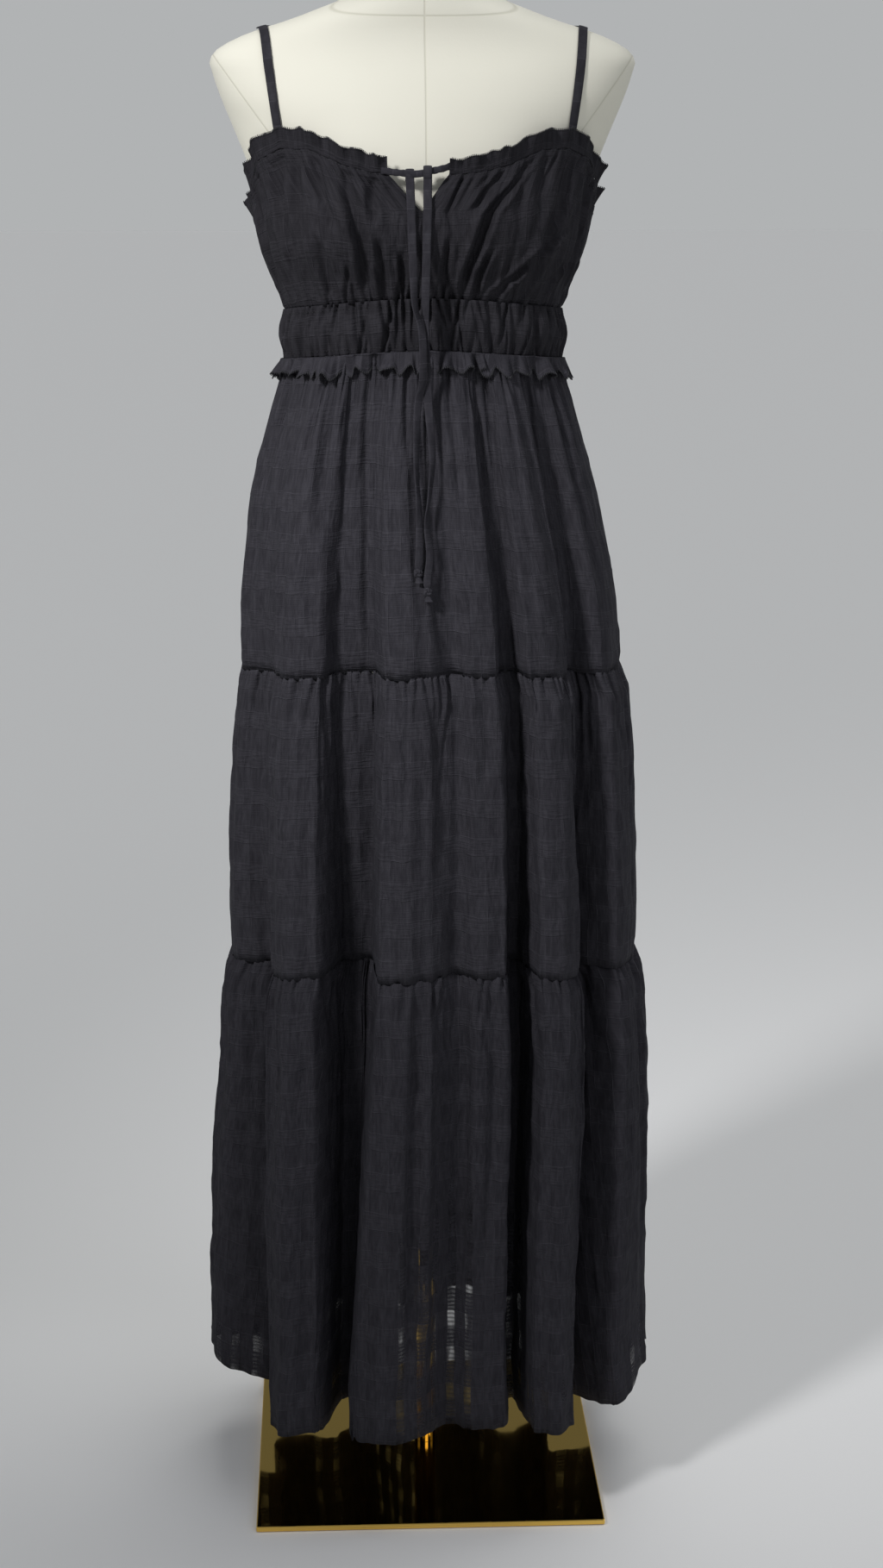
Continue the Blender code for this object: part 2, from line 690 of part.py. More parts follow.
def form_surface(x, ray):
    """Distance from a strap's centre to the form's skin, in the plane at x, along a ray."""
    low, high = 0.0, SEARCH_REACH
    for _ in range(SEARCH_STEPS):
        middle = (low + high) / 2
        y = -middle * math.cos(ray)
        height = STRAP_CENTRE_HEIGHT + middle * math.sin(ray)
        if inside_form(x, y, height):
            low = middle
        else:
            high = middle
    return low


def make_strap(name, side):
    rest = STRAP_CLEARANCE + STRAP_THICKNESS / 2
    rays = [mix(STRAP_ROUTE[0][0], STRAP_ROUTE[-1][0], step / STRAP_STEPS) for step in range(STRAP_STEPS + 1)]

    def place(column, row):
        (centre,) = table_at(STRAP_ROUTE, rays[column])
        x = centre + (row - 0.5) * STRAP_WIDTH
        ray = math.radians(rays[column])
        from_end = min(column, STRAP_STEPS - column) / STRAP_STEPS
        lift = STRAP_FOOT_LIFT * (1.0 - smooth(from_end / STRAP_FOOT_SHARE))
        reach = form_surface(x, ray) + rest + lift
        return Vector((side * x, -reach * math.cos(ray), STRAP_CENTRE_HEIGHT + reach * math.sin(ray)))

    strap = cloth(name, STRAP_STEPS, 1, place, STRAP_THICKNESS)
    if side < 0:
        turn_over(strap)


def make_torso():
    """Closed loft through the form's sections."""
    mesh = bmesh.new()
    rings = []
    for height, half_width, front, back, squareness in FORM_SECTIONS:
        ring = []
        for side in range(FORM_SIDES):
            turn = 2 * math.pi * side / FORM_SIDES
            depth = front if math.cos(turn) > 0 else back
            angle = math.atan2(half_width * math.sin(turn), depth * math.cos(turn))
            radius = section_radius(angle, half_width, front, back, squareness)
            x = radius * math.sin(angle)
            swell = bust_at(x, height, False) * front_share(angle)
            ring.append(mesh.verts.new((x, -radius * math.cos(angle) - swell, height)))
        rings.append(ring)
    for lower, upper in zip(rings, rings[1:]):
        for index in range(FORM_SIDES):
            after = (index + 1) % FORM_SIDES
            mesh.faces.new((lower[index], lower[after], upper[after], upper[index]))
    mesh.faces.new(reversed(rings[0]))
    mesh.faces.new(rings[-1])
    data = bpy.data.meshes.new("form_torso")
    mesh.to_mesh(data)
    mesh.free()
    data.shade_smooth()
    torso = bpy.data.objects.new("form_torso", data)
    bpy.context.scene.collection.objects.link(torso)
    finish(torso, "form_torso", materials["form"])


def make_stand():
    bpy.ops.mesh.primitive_cube_add(size=1.0)
    base = bpy.context.object
    for vertex in base.data.vertices:
        vertex.co.x *= BASE_WIDTH
        vertex.co.y *= BASE_WIDTH
        vertex.co.z *= BASE_THICKNESS
    base.location.z = BASE_THICKNESS / 2
    edges = base.modifiers.new("edges", "BEVEL")
    edges.width = BASE_BEVEL
    edges.segments = 2
    finish(base, "stand_base", materials["metal"])

    bottom = BASE_THICKNESS + TOUCH_GAP
    top = FORM_SECTIONS[0][0] - TOUCH_GAP
    bpy.ops.mesh.primitive_cylinder_add(vertices=POLE_SIDES, radius=POLE_RADIUS, depth=top - bottom)
    pole = bpy.context.object
    pole.location.z = (top + bottom) / 2
    pole.data.shade_smooth()
    pole.data.set_sharp_from_angle(angle=math.radians(POLE_SHARP_ANGLE))
    finish(pole, "stand_pole", materials["metal"])


def make_ties():
    bpy.ops.mesh.primitive_uv_sphere_add(segments=12, ring_count=8, radius=1.0)
    knot = bpy.context.object
    for vertex in knot.data.vertices:
        vertex.co = Vector(KNOT_CENTRE) + Vector(a * b for a, b in zip(vertex.co, KNOT_SIZE))
    knot.data.shade_smooth()
    finish(knot, "tie_knot", materials["cloth"])
    tube("drawstring_left", STRING_LEFT, STRING_RADIUS, STRING_STEP)
    tube("drawstring_right", STRING_RIGHT, STRING_RADIUS, STRING_STEP)
    tube("tie_left", TIE_LEFT, TIE_RADIUS, TIE_STEP)
    tube("tie_right", TIE_RIGHT, TIE_RADIUS, TIE_STEP)


for old in list(bpy.data.objects):
    bpy.data.objects.remove(old, do_unlink=True)
parts = bpy.data.collections.new("tiered maxi dress on a dress form")
bpy.context.scene.collection.children.link(parts)
materials = {name: make_material(name) for name in COLOURS}

make_stand()
make_torso()
make_bodice()
make_neck_ruffle()
make_strap("strap_left", -1)
make_strap("strap_right", 1)
make_band()
make_peplum()
make_tier("one", BAND_BOTTOM, SEAM_ONE)
make_tier("two", SEAM_ONE, SEAM_TWO)
make_tier("three", SEAM_TWO, HEM)
make_ties()
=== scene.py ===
import math

import bpy
import numpy as np
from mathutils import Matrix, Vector


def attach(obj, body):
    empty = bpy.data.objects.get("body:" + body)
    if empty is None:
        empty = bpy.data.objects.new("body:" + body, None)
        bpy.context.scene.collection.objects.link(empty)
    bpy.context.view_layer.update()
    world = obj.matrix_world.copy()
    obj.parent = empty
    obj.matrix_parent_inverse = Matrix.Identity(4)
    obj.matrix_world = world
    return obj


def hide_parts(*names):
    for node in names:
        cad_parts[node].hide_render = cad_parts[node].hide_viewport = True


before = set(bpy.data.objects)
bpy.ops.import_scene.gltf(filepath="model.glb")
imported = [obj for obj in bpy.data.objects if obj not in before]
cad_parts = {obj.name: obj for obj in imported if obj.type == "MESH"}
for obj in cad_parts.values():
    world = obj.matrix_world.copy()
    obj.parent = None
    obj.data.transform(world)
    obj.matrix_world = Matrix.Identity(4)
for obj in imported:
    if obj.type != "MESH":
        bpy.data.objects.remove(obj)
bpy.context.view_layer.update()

# Metres, +Z up, the floor at zero and the pole on the Z axis. The front faces -Y, and angles go round the
# body in degrees: 0 at the front, 90 at the side towards +X, 180 at the back.

cameraPlace = {
    "imageWidth": 1024,
    "imageHeight": 1819,
    "focalPixels": 3000.0,
    "sensor": 36.0,
    "yaw": 2.4,
    "pitch": 14.5,
    "distance": 2.5,
    "aside": 0.01775,
    "height": 1.373,
}


def makeCamera(place):
    data = bpy.data.cameras.new("photoCamera")
    data.sensor_width = place["sensor"]
    data.lens = place["sensor"] * place["focalPixels"] / max(place["imageWidth"], place["imageHeight"])
    data.clip_end = 100.0
    camera = bpy.data.objects.new("photoCamera", data)
    bpy.context.scene.collection.objects.link(camera)
    yaw = math.radians(place["yaw"])
    across, back = place["aside"], place["distance"]
    camera.location = (
        across * math.cos(yaw) - back * math.sin(yaw),
        -across * math.sin(yaw) - back * math.cos(yaw),
        place["height"],
    )
    camera.rotation_euler = (math.pi / 2 - math.radians(place["pitch"]), 0.0, -yaw)
    bpy.context.scene.camera = camera


makeCamera(cameraPlace)
print("camera set")


def mix(start, end, share):
    return start + (end - start) * share


def smooth(share):
    share = np.clip(share, 0.0, 1.0)
    return share * share * (3.0 - 2.0 * share)


def readColumn(table, keys, index):
    return np.interp(keys, [row[0] for row in table], [row[index] for row in table])


def smoothRoute(route, step):
    # a curve through every point of the route, in pieces of about one step
    knots = [Vector(point) for point in route]
    knots = [2 * knots[0] - knots[1], *knots, 2 * knots[-1] - knots[-2]]
    points = [knots[1]]
    for before, start, end, after in zip(knots, knots[1:], knots[2:], knots[3:]):
        pieces = max(1, round((end - start).length / step))
        for piece in range(1, pieces + 1):
            share = piece / pieces
            bend = 2 * before - 5 * start + 4 * end - after
            twist = 3 * start - before - 3 * end + after
            points.append(0.5 * (2 * start + (end - before) * share + bend * share**2 + twist * share**3))
    return points


def linearColour(code):
    values = [int(code[place : place + 2], 16) / 255 for place in (1, 3, 5)]
    return [v / 12.92 if v <= 0.04045 else ((v + 0.055) / 1.055) ** 2.4 for v in values] + [1.0]


def setInputs(tree, node, inputs):
    # each socket gets its value, or a link from the node or socket that feeds it
    for socket, value in inputs.items():
        source = value.outputs[0] if isinstance(value, bpy.types.Node) else value
        if isinstance(source, bpy.types.NodeSocket):
            tree.links.new(source, node.inputs[socket])
        else:
            node.inputs[socket].default_value = source


def addNode(tree, kind, inputs=None, **settings):
    node = tree.nodes.new(kind)
    for name, value in settings.items():
        setattr(node, name, value)
    setInputs(tree, node, inputs or {})
    return node


def newMaterial(name):
    material = bpy.data.materials.new(name)
    material.use_nodes = True
    return material, material.node_tree, material.node_tree.nodes["Principled BSDF"]


# Black cotton gauze with a woven windowpane check: dull and slightly crinkled, with open strips that let a
# little light through and open windows where the strips cross. The threads are drawn four times too coarse.
gauze = {
    "colour": "#232226",
    # the lighter colour lies on the raised crinkles: a painted highlight on their crests
    "worn": "#434247",
    "roughness": 0.82,
    "specular": 0.06,
    "sheen": 0.02,
    "sheenRoughness": 0.45,
    "sheenTint": "#9aa0ac",
    # upright and level strips: pitch and width, and how soft their edges are
    "stripPitch": (0.0250, 0.0385),
    "stripWidth": (0.0100, 0.0165),
    "stripSoft": 0.0012,
    "threadPitch": 0.0019,
    "rungPitch": 0.0042,
    # how far the strips wander, and how many times in a metre they wander and their edges fade
    "wander": 0.006,
    "wanders": 26.0,
    "fades": 55.0,
    # how many upright crinkles, level puckers and open patches lie in a metre, across and down
    "crinkles": (300.0, 62.0, 1.0),
    "puckers": (60.0, 420.0, 1.0),
    "patches": (70.0, 16.0, 1.0),
    "bump": 0.75,
    "bumpDistance": 0.0012,
    "bumpShares": {"crinkles": 0.75, "puckers": 0.45, "threads": 0.10, "strips": -0.20, "edges": -3.0},
    "toneShares": {"edges": -2.3, "strips": 0.10},
    # how open the upright strips, the level strips and the windows are
    "openStrip": 0.30,
    "openLevel": 0.08,
    "openWindow": 0.20,
}
waveUnit = 0.31416  # a wave texture of scale 1 repeats every 0.314 m


def stripMask(tree, place, pitch, width, soft):
    # 1 on a strip and 0 between two strips
    turns = addNode(tree, "ShaderNodeMath", {0: place, 1: 1 / pitch}, operation="MULTIPLY")
    share = addNode(tree, "ShaderNodeMath", {0: turns}, operation="FRACT")
    centred = addNode(tree, "ShaderNodeMath", {0: share, 1: 0.5}, operation="SUBTRACT")
    fromMiddle = addNode(tree, "ShaderNodeMath", {0: centred}, operation="ABSOLUTE")
    limits = {1: (width - soft) / 2 / pitch, 2: (width + soft) / 2 / pitch, 3: 1.0, 4: 0.0}
    return addNode(tree, "ShaderNodeMapRange", {0: fromMiddle, **limits}, interpolation_type="SMOOTHSTEP")


def makeGauze(name, look, openWeave=False):
    material, tree, shader = newMaterial(name)
    laid = addNode(tree, "ShaderNodeUVMap", uv_map="weave")
    drift = addNode(tree, "ShaderNodeTexNoise", {"Vector": laid, "Scale": look["wanders"], "Detail": 1.0})
    middle = {0: drift.outputs["Color"], 1: (0.5, 0.5, 0.5)}
    centred = addNode(tree, "ShaderNodeVectorMath", middle, operation="SUBTRACT")
    shift = addNode(tree, "ShaderNodeVectorMath", {0: centred, "Scale": look["wander"]}, operation="SCALE")
    moved = addNode(tree, "ShaderNodeVectorMath", {0: laid, 1: shift}, operation="ADD")
    split = addNode(tree, "ShaderNodeSeparateXYZ", {0: moved})
    across, down = (
        stripMask(tree, place, pitch, width, look["stripSoft"])
        for place, pitch, width in zip(split.outputs, look["stripPitch"], look["stripWidth"])
    )
    window = addNode(tree, "ShaderNodeMath", {0: across, 1: down}, operation="MULTIPLY")
    strips = addNode(tree, "ShaderNodeMath", {0: across, 1: down}, operation="MAXIMUM")
    # a pair of thicker threads edges each strip, and fades here and there
    both = []
    for strip in (across, down):
        less = addNode(tree, "ShaderNodeMath", {0: strip, 1: 1.0}, operation="SUBTRACT")
        both.append(addNode(tree, "ShaderNodeMath", {0: strip, 1: less}, operation="MULTIPLY"))
    edges = addNode(tree, "ShaderNodeMath", {0: both[0], 1: both[1]}, operation="MINIMUM")
    fading = addNode(tree, "ShaderNodeTexNoise", {"Vector": laid, "Scale": look["fades"], "Detail": 1.0})
    seen = addNode(tree, "ShaderNodeMapRange", {0: fading, 1: 0.38, 2: 0.66, 3: 0.1, 4: 1.0})
    edges = addNode(tree, "ShaderNodeMath", {0: edges, 1: seen}, operation="MULTIPLY")

    # crinkles: long upright ones everywhere, and short level puckers, deeper along the level strips
    upright = addNode(tree, "ShaderNodeMapping", {0: laid, "Scale": look["crinkles"]})
    bent = {"Vector": upright, "Scale": 1.0, "Detail": 3.0, "Distortion": 0.6}
    crinkles = addNode(tree, "ShaderNodeTexNoise", bent)
    level = addNode(tree, "ShaderNodeMapping", {0: laid, "Scale": look["puckers"]})
    puckers = addNode(tree, "ShaderNodeTexNoise", {"Vector": level, "Scale": 1.0, "Detail": 2.0})
    rows = {"Vector": laid, "Scale": waveUnit / look["threadPitch"], "Distortion": 1.5, "Detail": 1.0}
    threads = addNode(tree, "ShaderNodeTexWave", rows, wave_type="BANDS", bands_direction="Y")
    parts = {"crinkles": crinkles, "puckers": puckers, "threads": threads, "strips": strips, "edges": edges}
    height = addNode(tree, "ShaderNodeMath", {0: puckers, 1: down}, operation="MULTIPLY")
    for part, share in look["bumpShares"].items():
        sums = {0: parts[part], 1: share, 2: height}
        height = addNode(tree, "ShaderNodeMath", sums, operation="MULTIPLY_ADD")
    relief = {"Height": height, "Strength": look["bump"], "Distance": look["bumpDistance"]}
    bump = addNode(tree, "ShaderNodeBump", relief)

    # the raised crinkles are coloured lighter: a painted highlight on their crests
    tone = addNode(tree, "ShaderNodeMapRange", {0: crinkles, 1: 0.38, 2: 0.72, 3: 0.14, 4: 0.44})
    for part, share in look["toneShares"].items():
        tone = addNode(tree, "ShaderNodeMath", {0: parts[part], 1: share, 2: tone}, operation="MULTIPLY_ADD")
    shades = {0: tone, 6: linearColour(look["colour"]), 7: linearColour(look["worn"])}
    colour = addNode(tree, "ShaderNodeMix", shades, data_type="RGBA", clamp_factor=True)
    finish = {
        "Base Color": colour.outputs[2],
        "Normal": bump,
        "Roughness": look["roughness"],
        "Specular IOR Level": look["specular"],
        "Sheen Weight": look["sheen"],
        "Sheen Roughness": look["sheenRoughness"],
        "Sheen Tint": linearColour(look["sheenTint"]),
    }
    setInputs(tree, shader, finish)
    if not openWeave:
        return material

    # the upright strips are the more open ones, patchy, with rungs across them
    stretched = addNode(tree, "ShaderNodeMapping", {0: laid, "Scale": look["patches"]})
    uneven = addNode(tree, "ShaderNodeTexNoise", {"Vector": stretched, "Scale": 1.0, "Detail": 2.0})
    patches = addNode(tree, "ShaderNodeMapRange", {0: uneven, 1: 0.36, 2: 0.62, 3: 0.2, 4: 1.15})
    rows = {"Vector": laid, "Scale": waveUnit / look["rungPitch"], "Distortion": 2.5, "Detail": 1.0}
    rungs = addNode(tree, "ShaderNodeTexWave", rows, wave_type="BANDS", bands_direction="Y")
    between = addNode(tree, "ShaderNodeMapRange", {0: rungs, 1: 0.1, 2: 0.8, 3: 0.35, 4: 1.0})
    ladder = addNode(tree, "ShaderNodeMath", {0: across, 1: between}, operation="MULTIPLY")
    gap = addNode(tree, "ShaderNodeMath", {0: ladder, 1: look["openStrip"]}, operation="MULTIPLY")
    for part, share in ((down, look["openLevel"]), (window, look["openWindow"])):
        gap = addNode(tree, "ShaderNodeMath", {0: part, 1: share, 2: gap}, operation="MULTIPLY_ADD")
    # where folds lie double no light comes through: the share of light is stored on the cloth
    sheer = addNode(tree, "ShaderNodeAttribute", attribute_name="sheer").outputs["Fac"]
    for part in (patches, sheer):
        gap = addNode(tree, "ShaderNodeMath", {0: gap, 1: part}, operation="MULTIPLY")
    solid = addNode(tree, "ShaderNodeMath", {0: 1.0, 1: gap}, operation="SUBTRACT")
    setInputs(tree, shader, {"Alpha": solid})
    return material


# Cream cotton jersey stretched over foam: matt, with flat seams and a very fine knit, drawn twice too coarse.
jersey = {
    "colour": "#dcdacb",
    "seam": "#b9b6a4",
    "roughness": 0.8,
    "specular": 0.3,
    "sheen": 0.08,
    "knitPitch": 0.0022,
    "shadePitch": 1 / 9,
    "seamWidth": 0.0014,
    # slope and level of the line that each seam follows
    "neckSeam": (0.33, 1.4805),
    "armSeam": (0.738, -0.8594),
}


def makeJersey(name, look):
    material, tree, shader = newMaterial(name)
    place = addNode(tree, "ShaderNodeTexCoord").outputs["Object"]
    x, y, z = addNode(tree, "ShaderNodeSeparateXYZ", {0: place}).outputs
    aside = addNode(tree, "ShaderNodeMath", {0: x}, operation="ABSOLUTE")
    # the seams down the middle, round the neck and round the arms
    nearest = aside
    for along, across, (slope, level) in ((y, z, look["neckSeam"]), (z, aside, look["armSeam"])):
        line = addNode(tree, "ShaderNodeMath", {0: along, 1: -slope, 2: across}, operation="MULTIPLY_ADD")
        line = addNode(tree, "ShaderNodeMath", {0: line, 1: level}, operation="SUBTRACT")
        away = addNode(tree, "ShaderNodeMath", {0: line}, operation="ABSOLUTE")
        nearest = addNode(tree, "ShaderNodeMath", {0: nearest, 1: away}, operation="MINIMUM")
    limits = {0: nearest, 1: 0.0, 2: look["seamWidth"], 3: 1.0, 4: 0.0}
    seam = addNode(tree, "ShaderNodeMapRange", limits, interpolation_type="SMOOTHSTEP")
    knit, broad = (
        addNode(tree, "ShaderNodeTexNoise", {"Vector": place, "Scale": 1 / look[pitch], "Detail": 2.0})
        for pitch in ("knitPitch", "shadePitch")
    )
    loops = addNode(tree, "ShaderNodeMath", {0: knit, 1: 0.25}, operation="MULTIPLY")
    height = addNode(tree, "ShaderNodeMath", {0: loops, 1: seam}, operation="SUBTRACT")
    bump = addNode(tree, "ShaderNodeBump", {"Height": height, "Strength": 0.35, "Distance": 0.0008})
    shade = addNode(tree, "ShaderNodeMath", {0: broad, 1: 0.18}, operation="MULTIPLY")
    mark = addNode(tree, "ShaderNodeMath", {0: seam, 1: 0.55, 2: shade}, operation="MULTIPLY_ADD")
    shades = {0: mark, 6: linearColour(look["colour"]), 7: linearColour(look["seam"])}
    colour = addNode(tree, "ShaderNodeMix", shades, data_type="RGBA", clamp_factor=True)
    finish = {
        "Base Color": colour.outputs[2],
        "Normal": bump,
        "Roughness": look["roughness"],
        "Specular IOR Level": look["specular"],
        "Sheen Weight": look["sheen"],
    }
    setInputs(tree, shader, finish)
    return material


# Gold coloured polished steel: a clean mirror with faint wiping marks.
goldSteel = {
    "colour": "#f0c766",
    "roughness": 0.035,
    "wiped": 0.085,
    "markPitch": 0.06,
    "stretch": (1.0, 0.35, 1.0),
}


def makeGoldSteel(name, look):
    material, tree, shader = newMaterial(name)
    place = addNode(tree, "ShaderNodeTexCoord").outputs["Object"]
    stretched = addNode(tree, "ShaderNodeMapping", {0: place, "Scale": look["stretch"]})
    grain = {"Vector": stretched, "Scale": 1 / look["markPitch"], "Detail": 5.0}
    marks = addNode(tree, "ShaderNodeTexNoise", grain)
    limits = {0: marks, 1: 0.45, 2: 0.72, 3: look["roughness"], 4: look["wiped"]}
    rough = addNode(tree, "ShaderNodeMapRange", limits)
    setInputs(tree, shader, {"Base Color": linearColour(look["colour"]), "Metallic": 1.0, "Roughness": rough})
    return material


# Black polyester sewing thread: a little shinier than the cloth.
sewingThread = {"colour": "#1c1c20", "roughness": 0.7, "plyPitch": 0.0009}


def makeThread(name, look):
    material, tree, shader = newMaterial(name)
    place = addNode(tree, "ShaderNodeTexCoord").outputs["Object"]
    ply = addNode(tree, "ShaderNodeTexNoise", {"Vector": place, "Scale": 1 / look["plyPitch"]})
    bump = addNode(tree, "ShaderNodeBump", {"Height": ply, "Strength": 0.2, "Distance": 0.0002})
    finish = {"Base Color": linearColour(look["colour"]), "Normal": bump, "Roughness": look["roughness"]}
    setInputs(tree, shader, finish)
    return material


# the lowest tier is single and is coloured darker, a painted shade for the dimmer light low down; the upper
# tiers look denser; gathered cloth is coloured darker, a painted shade of its small folds; and a tape is
# folded
hemShadedGauze = {**gauze, "colour": "#201f23", "worn": "#3f3e43"}
gatheredShadedGauze = {**gauze, "colour": "#1d1c1f", "worn": "#38373b"}
foldedGauze = {**gauze, "stripPitch": (0.0270, 0.0385), "bump": 0.4}
hemShadedMaterial = makeGauze("blackWindowpaneGauze", hemShadedGauze, openWeave=True)
linedMaterial = makeGauze("blackWindowpaneGauzeLined", gauze)
gatheredShadedMaterial = makeGauze("blackWindowpaneGauzeGatheredShaded", gatheredShadedGauze)
tapeMaterial = makeGauze("blackGauzeFolded", foldedGauze)
jerseyMaterial = makeJersey("creamJersey", jersey)
goldMaterial = makeGoldSteel("goldPolishedSteel", goldSteel)
threadMaterial = makeThread("blackSewingThread", sewingThread)
print("materials made")


def newPiece(name, points, faces, material, replaced=(), uvs=None):
    mesh = bpy.data.meshes.new(name)
    mesh.from_pydata([tuple(point) for point in points], [], faces)
    mesh.materials.append(material)
    if uvs is not None:
        corners = np.zeros(len(mesh.loops), dtype=np.int32)
        mesh.loops.foreach_get("vertex_index", corners)
        layer = mesh.uv_layers.new(name="weave")
        layer.data.foreach_set("uv", np.asarray(uvs, dtype=np.float32)[corners].ravel())
    mesh.shade_smooth()
    piece = bpy.data.objects.new(name, mesh)
    bpy.context.scene.collection.objects.link(piece)
    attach(piece, "root")
    if replaced:
        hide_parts(*replaced)
    return piece


def gridFaces(rows, columns, closed=False):
    # rows run downwards and columns to the right, as seen from outside
    faces = []
    wide = columns if closed else columns - 1
    for row in range(rows - 1):
        for column in range(wide):
            after = (column + 1) % columns
            top, bottom = row * columns, (row + 1) * columns
            faces.append((top + column, bottom + column, bottom + after, top + after))
    return faces


# Form: height, half width, depth in front, depth behind, squareness
formSections = (
    (0.740, 0.150, 0.098, 0.112, 2.3),
    (0.746, 0.154, 0.101, 0.116, 2.3),
    (0.800, 0.161, 0.106, 0.124, 2.3),
    (0.870, 0.164, 0.108, 0.128, 2.3),
    (0.940, 0.158, 0.106, 0.121, 2.3),
    (1.000, 0.147, 0.102, 0.106, 2.3),
    (1.050, 0.133, 0.097, 0.092, 2.3),
    (1.100, 0.1235, 0.092, 0.082, 2.3),
    (1.150, 0.1225, 0.090, 0.079, 2.3),
    (1.190, 0.1260, 0.092, 0.081, 2.3),
    (1.225, 0.1385, 0.096, 0.085, 2.3),
    (1.260, 0.1475, 0.099, 0.089, 2.3),
    (1.300, 0.1550, 0.101, 0.093, 2.3),
    (1.335, 0.1660, 0.100, 0.095, 2.3),
    (1.365, 0.1780, 0.096, 0.094, 2.4),
    (1.390, 0.1880, 0.089, 0.090, 2.8),
    (1.410, 0.1945, 0.080, 0.084, 3.1),
    (1.423, 0.1970, 0.072, 0.078, 3.3),
    (1.432, 0.1900, 0.067, 0.074, 3.3),
    (1.440, 0.1760, 0.064, 0.071, 3.2),
    (1.449, 0.1537, 0.062, 0.069, 3.0),
    (1.458, 0.1240, 0.062, 0.069, 2.8),
    (1.467, 0.1000, 0.062, 0.069, 2.5),
    (1.476, 0.0770, 0.060, 0.067, 2.3),
    (1.485, 0.0665, 0.057, 0.063, 2.3),
    (1.502, 0.0605, 0.055, 0.059, 2.3),
    (1.535, 0.0575, 0.054, 0.057, 2.3),
)
bust = {
    "height": 1.275,
    "fromCentre": 0.078,
    "width": 0.045,
    "rise": 0.050,
    "depth": 0.022,
    "bridge": 0.055,
    "fade": 0.5,
}
formMesh = {"sides": 96, "ringStep": 0.006, "edgeRound": 0.003}


def sectionAt(table, height):
    # half width, depth in front, depth behind, and the form's squareness or the dress's shift
    return [readColumn(table, height, index) for index in (1, 2, 3, 4)]


def sectionRadius(angle, halfWidth, front, back, squareness=2.3):
    side = np.abs(np.sin(angle)) / halfWidth
    depth = np.abs(np.cos(angle)) / np.where(np.cos(angle) > 0, front, back)
    return (side**squareness + depth**squareness) ** (-1 / squareness)


def bustAt(x, height, bridged):
    # how far the bust stands out; cloth bridges the hollow between its two sides
    reach = np.maximum(np.abs(x), bust["bridge"]) if bridged else np.abs(x)
    across = (reach - bust["fromCentre"]) / bust["width"]
    along = (height - bust["height"]) / bust["rise"]
    return bust["depth"] * np.exp(-across * across - along * along)


def frontShare(angle):
    return smooth(np.cos(angle) / bust["fade"])


def formPlan(angle, radius, height):
    x = radius * np.sin(angle)
    return x, -radius * np.cos(angle) - bustAt(x, height, False) * frontShare(angle)


def smoothTable(table, keys):
    # the table's columns along a curve that passes through every row
    rows = np.array(table)
    slopes = np.gradient(rows, rows[:, 0], axis=0)
    result = []
    for key in keys:
        low = int(np.clip(np.searchsorted(rows[:, 0], key) - 1, 0, len(rows) - 2))
        span = rows[low + 1, 0] - rows[low, 0]
        t = (key - rows[low, 0]) / span
        result.append(
            (2 * t**3 - 3 * t**2 + 1) * rows[low]
            + (t**3 - 2 * t**2 + t) * span * slopes[low]
            + (3 * t**2 - 2 * t**3) * rows[low + 1]
            + (t**3 - t**2) * span * slopes[low + 1]
        )
    return result


def makeForm():
    bottom, top = formSections[0][0], formSections[-1][0]
    heights = np.linspace(top, bottom, round((top - bottom) / formMesh["ringStep"]))
    sides = formMesh["sides"]
    turn = 2 * np.pi * np.arange(sides) / sides
    points = []
    for height, row in zip(heights, smoothTable(formSections, heights)):
        _, halfWidth, front, back, squareness = row
        angle = np.arctan2(halfWidth * np.sin(turn), np.where(np.cos(turn) > 0, front, back) * np.cos(turn))
        radius = sectionRadius(angle, halfWidth, front, back, squareness)
        fromEnd = min(top - height, height - bottom) / formMesh["edgeRound"]
        if fromEnd < 1.0:
            radius = radius - formMesh["edgeRound"] * (1.0 - math.sqrt(max(0.0, 1.0 - (1.0 - fromEnd) ** 2)))
        x, y = formPlan(angle, radius, height)
        points += list(zip(x, y, np.full(sides, height)))
    faces = gridFaces(len(heights), sides, closed=True)
    last = (len(heights) - 1) * sides
    faces.append(tuple(range(sides)))
    faces.append(tuple(last + index for index in reversed(range(sides))))
    newPiece("formTorso", points, faces, jerseyMaterial, ["form_torso"])


makeForm()
print("form made")

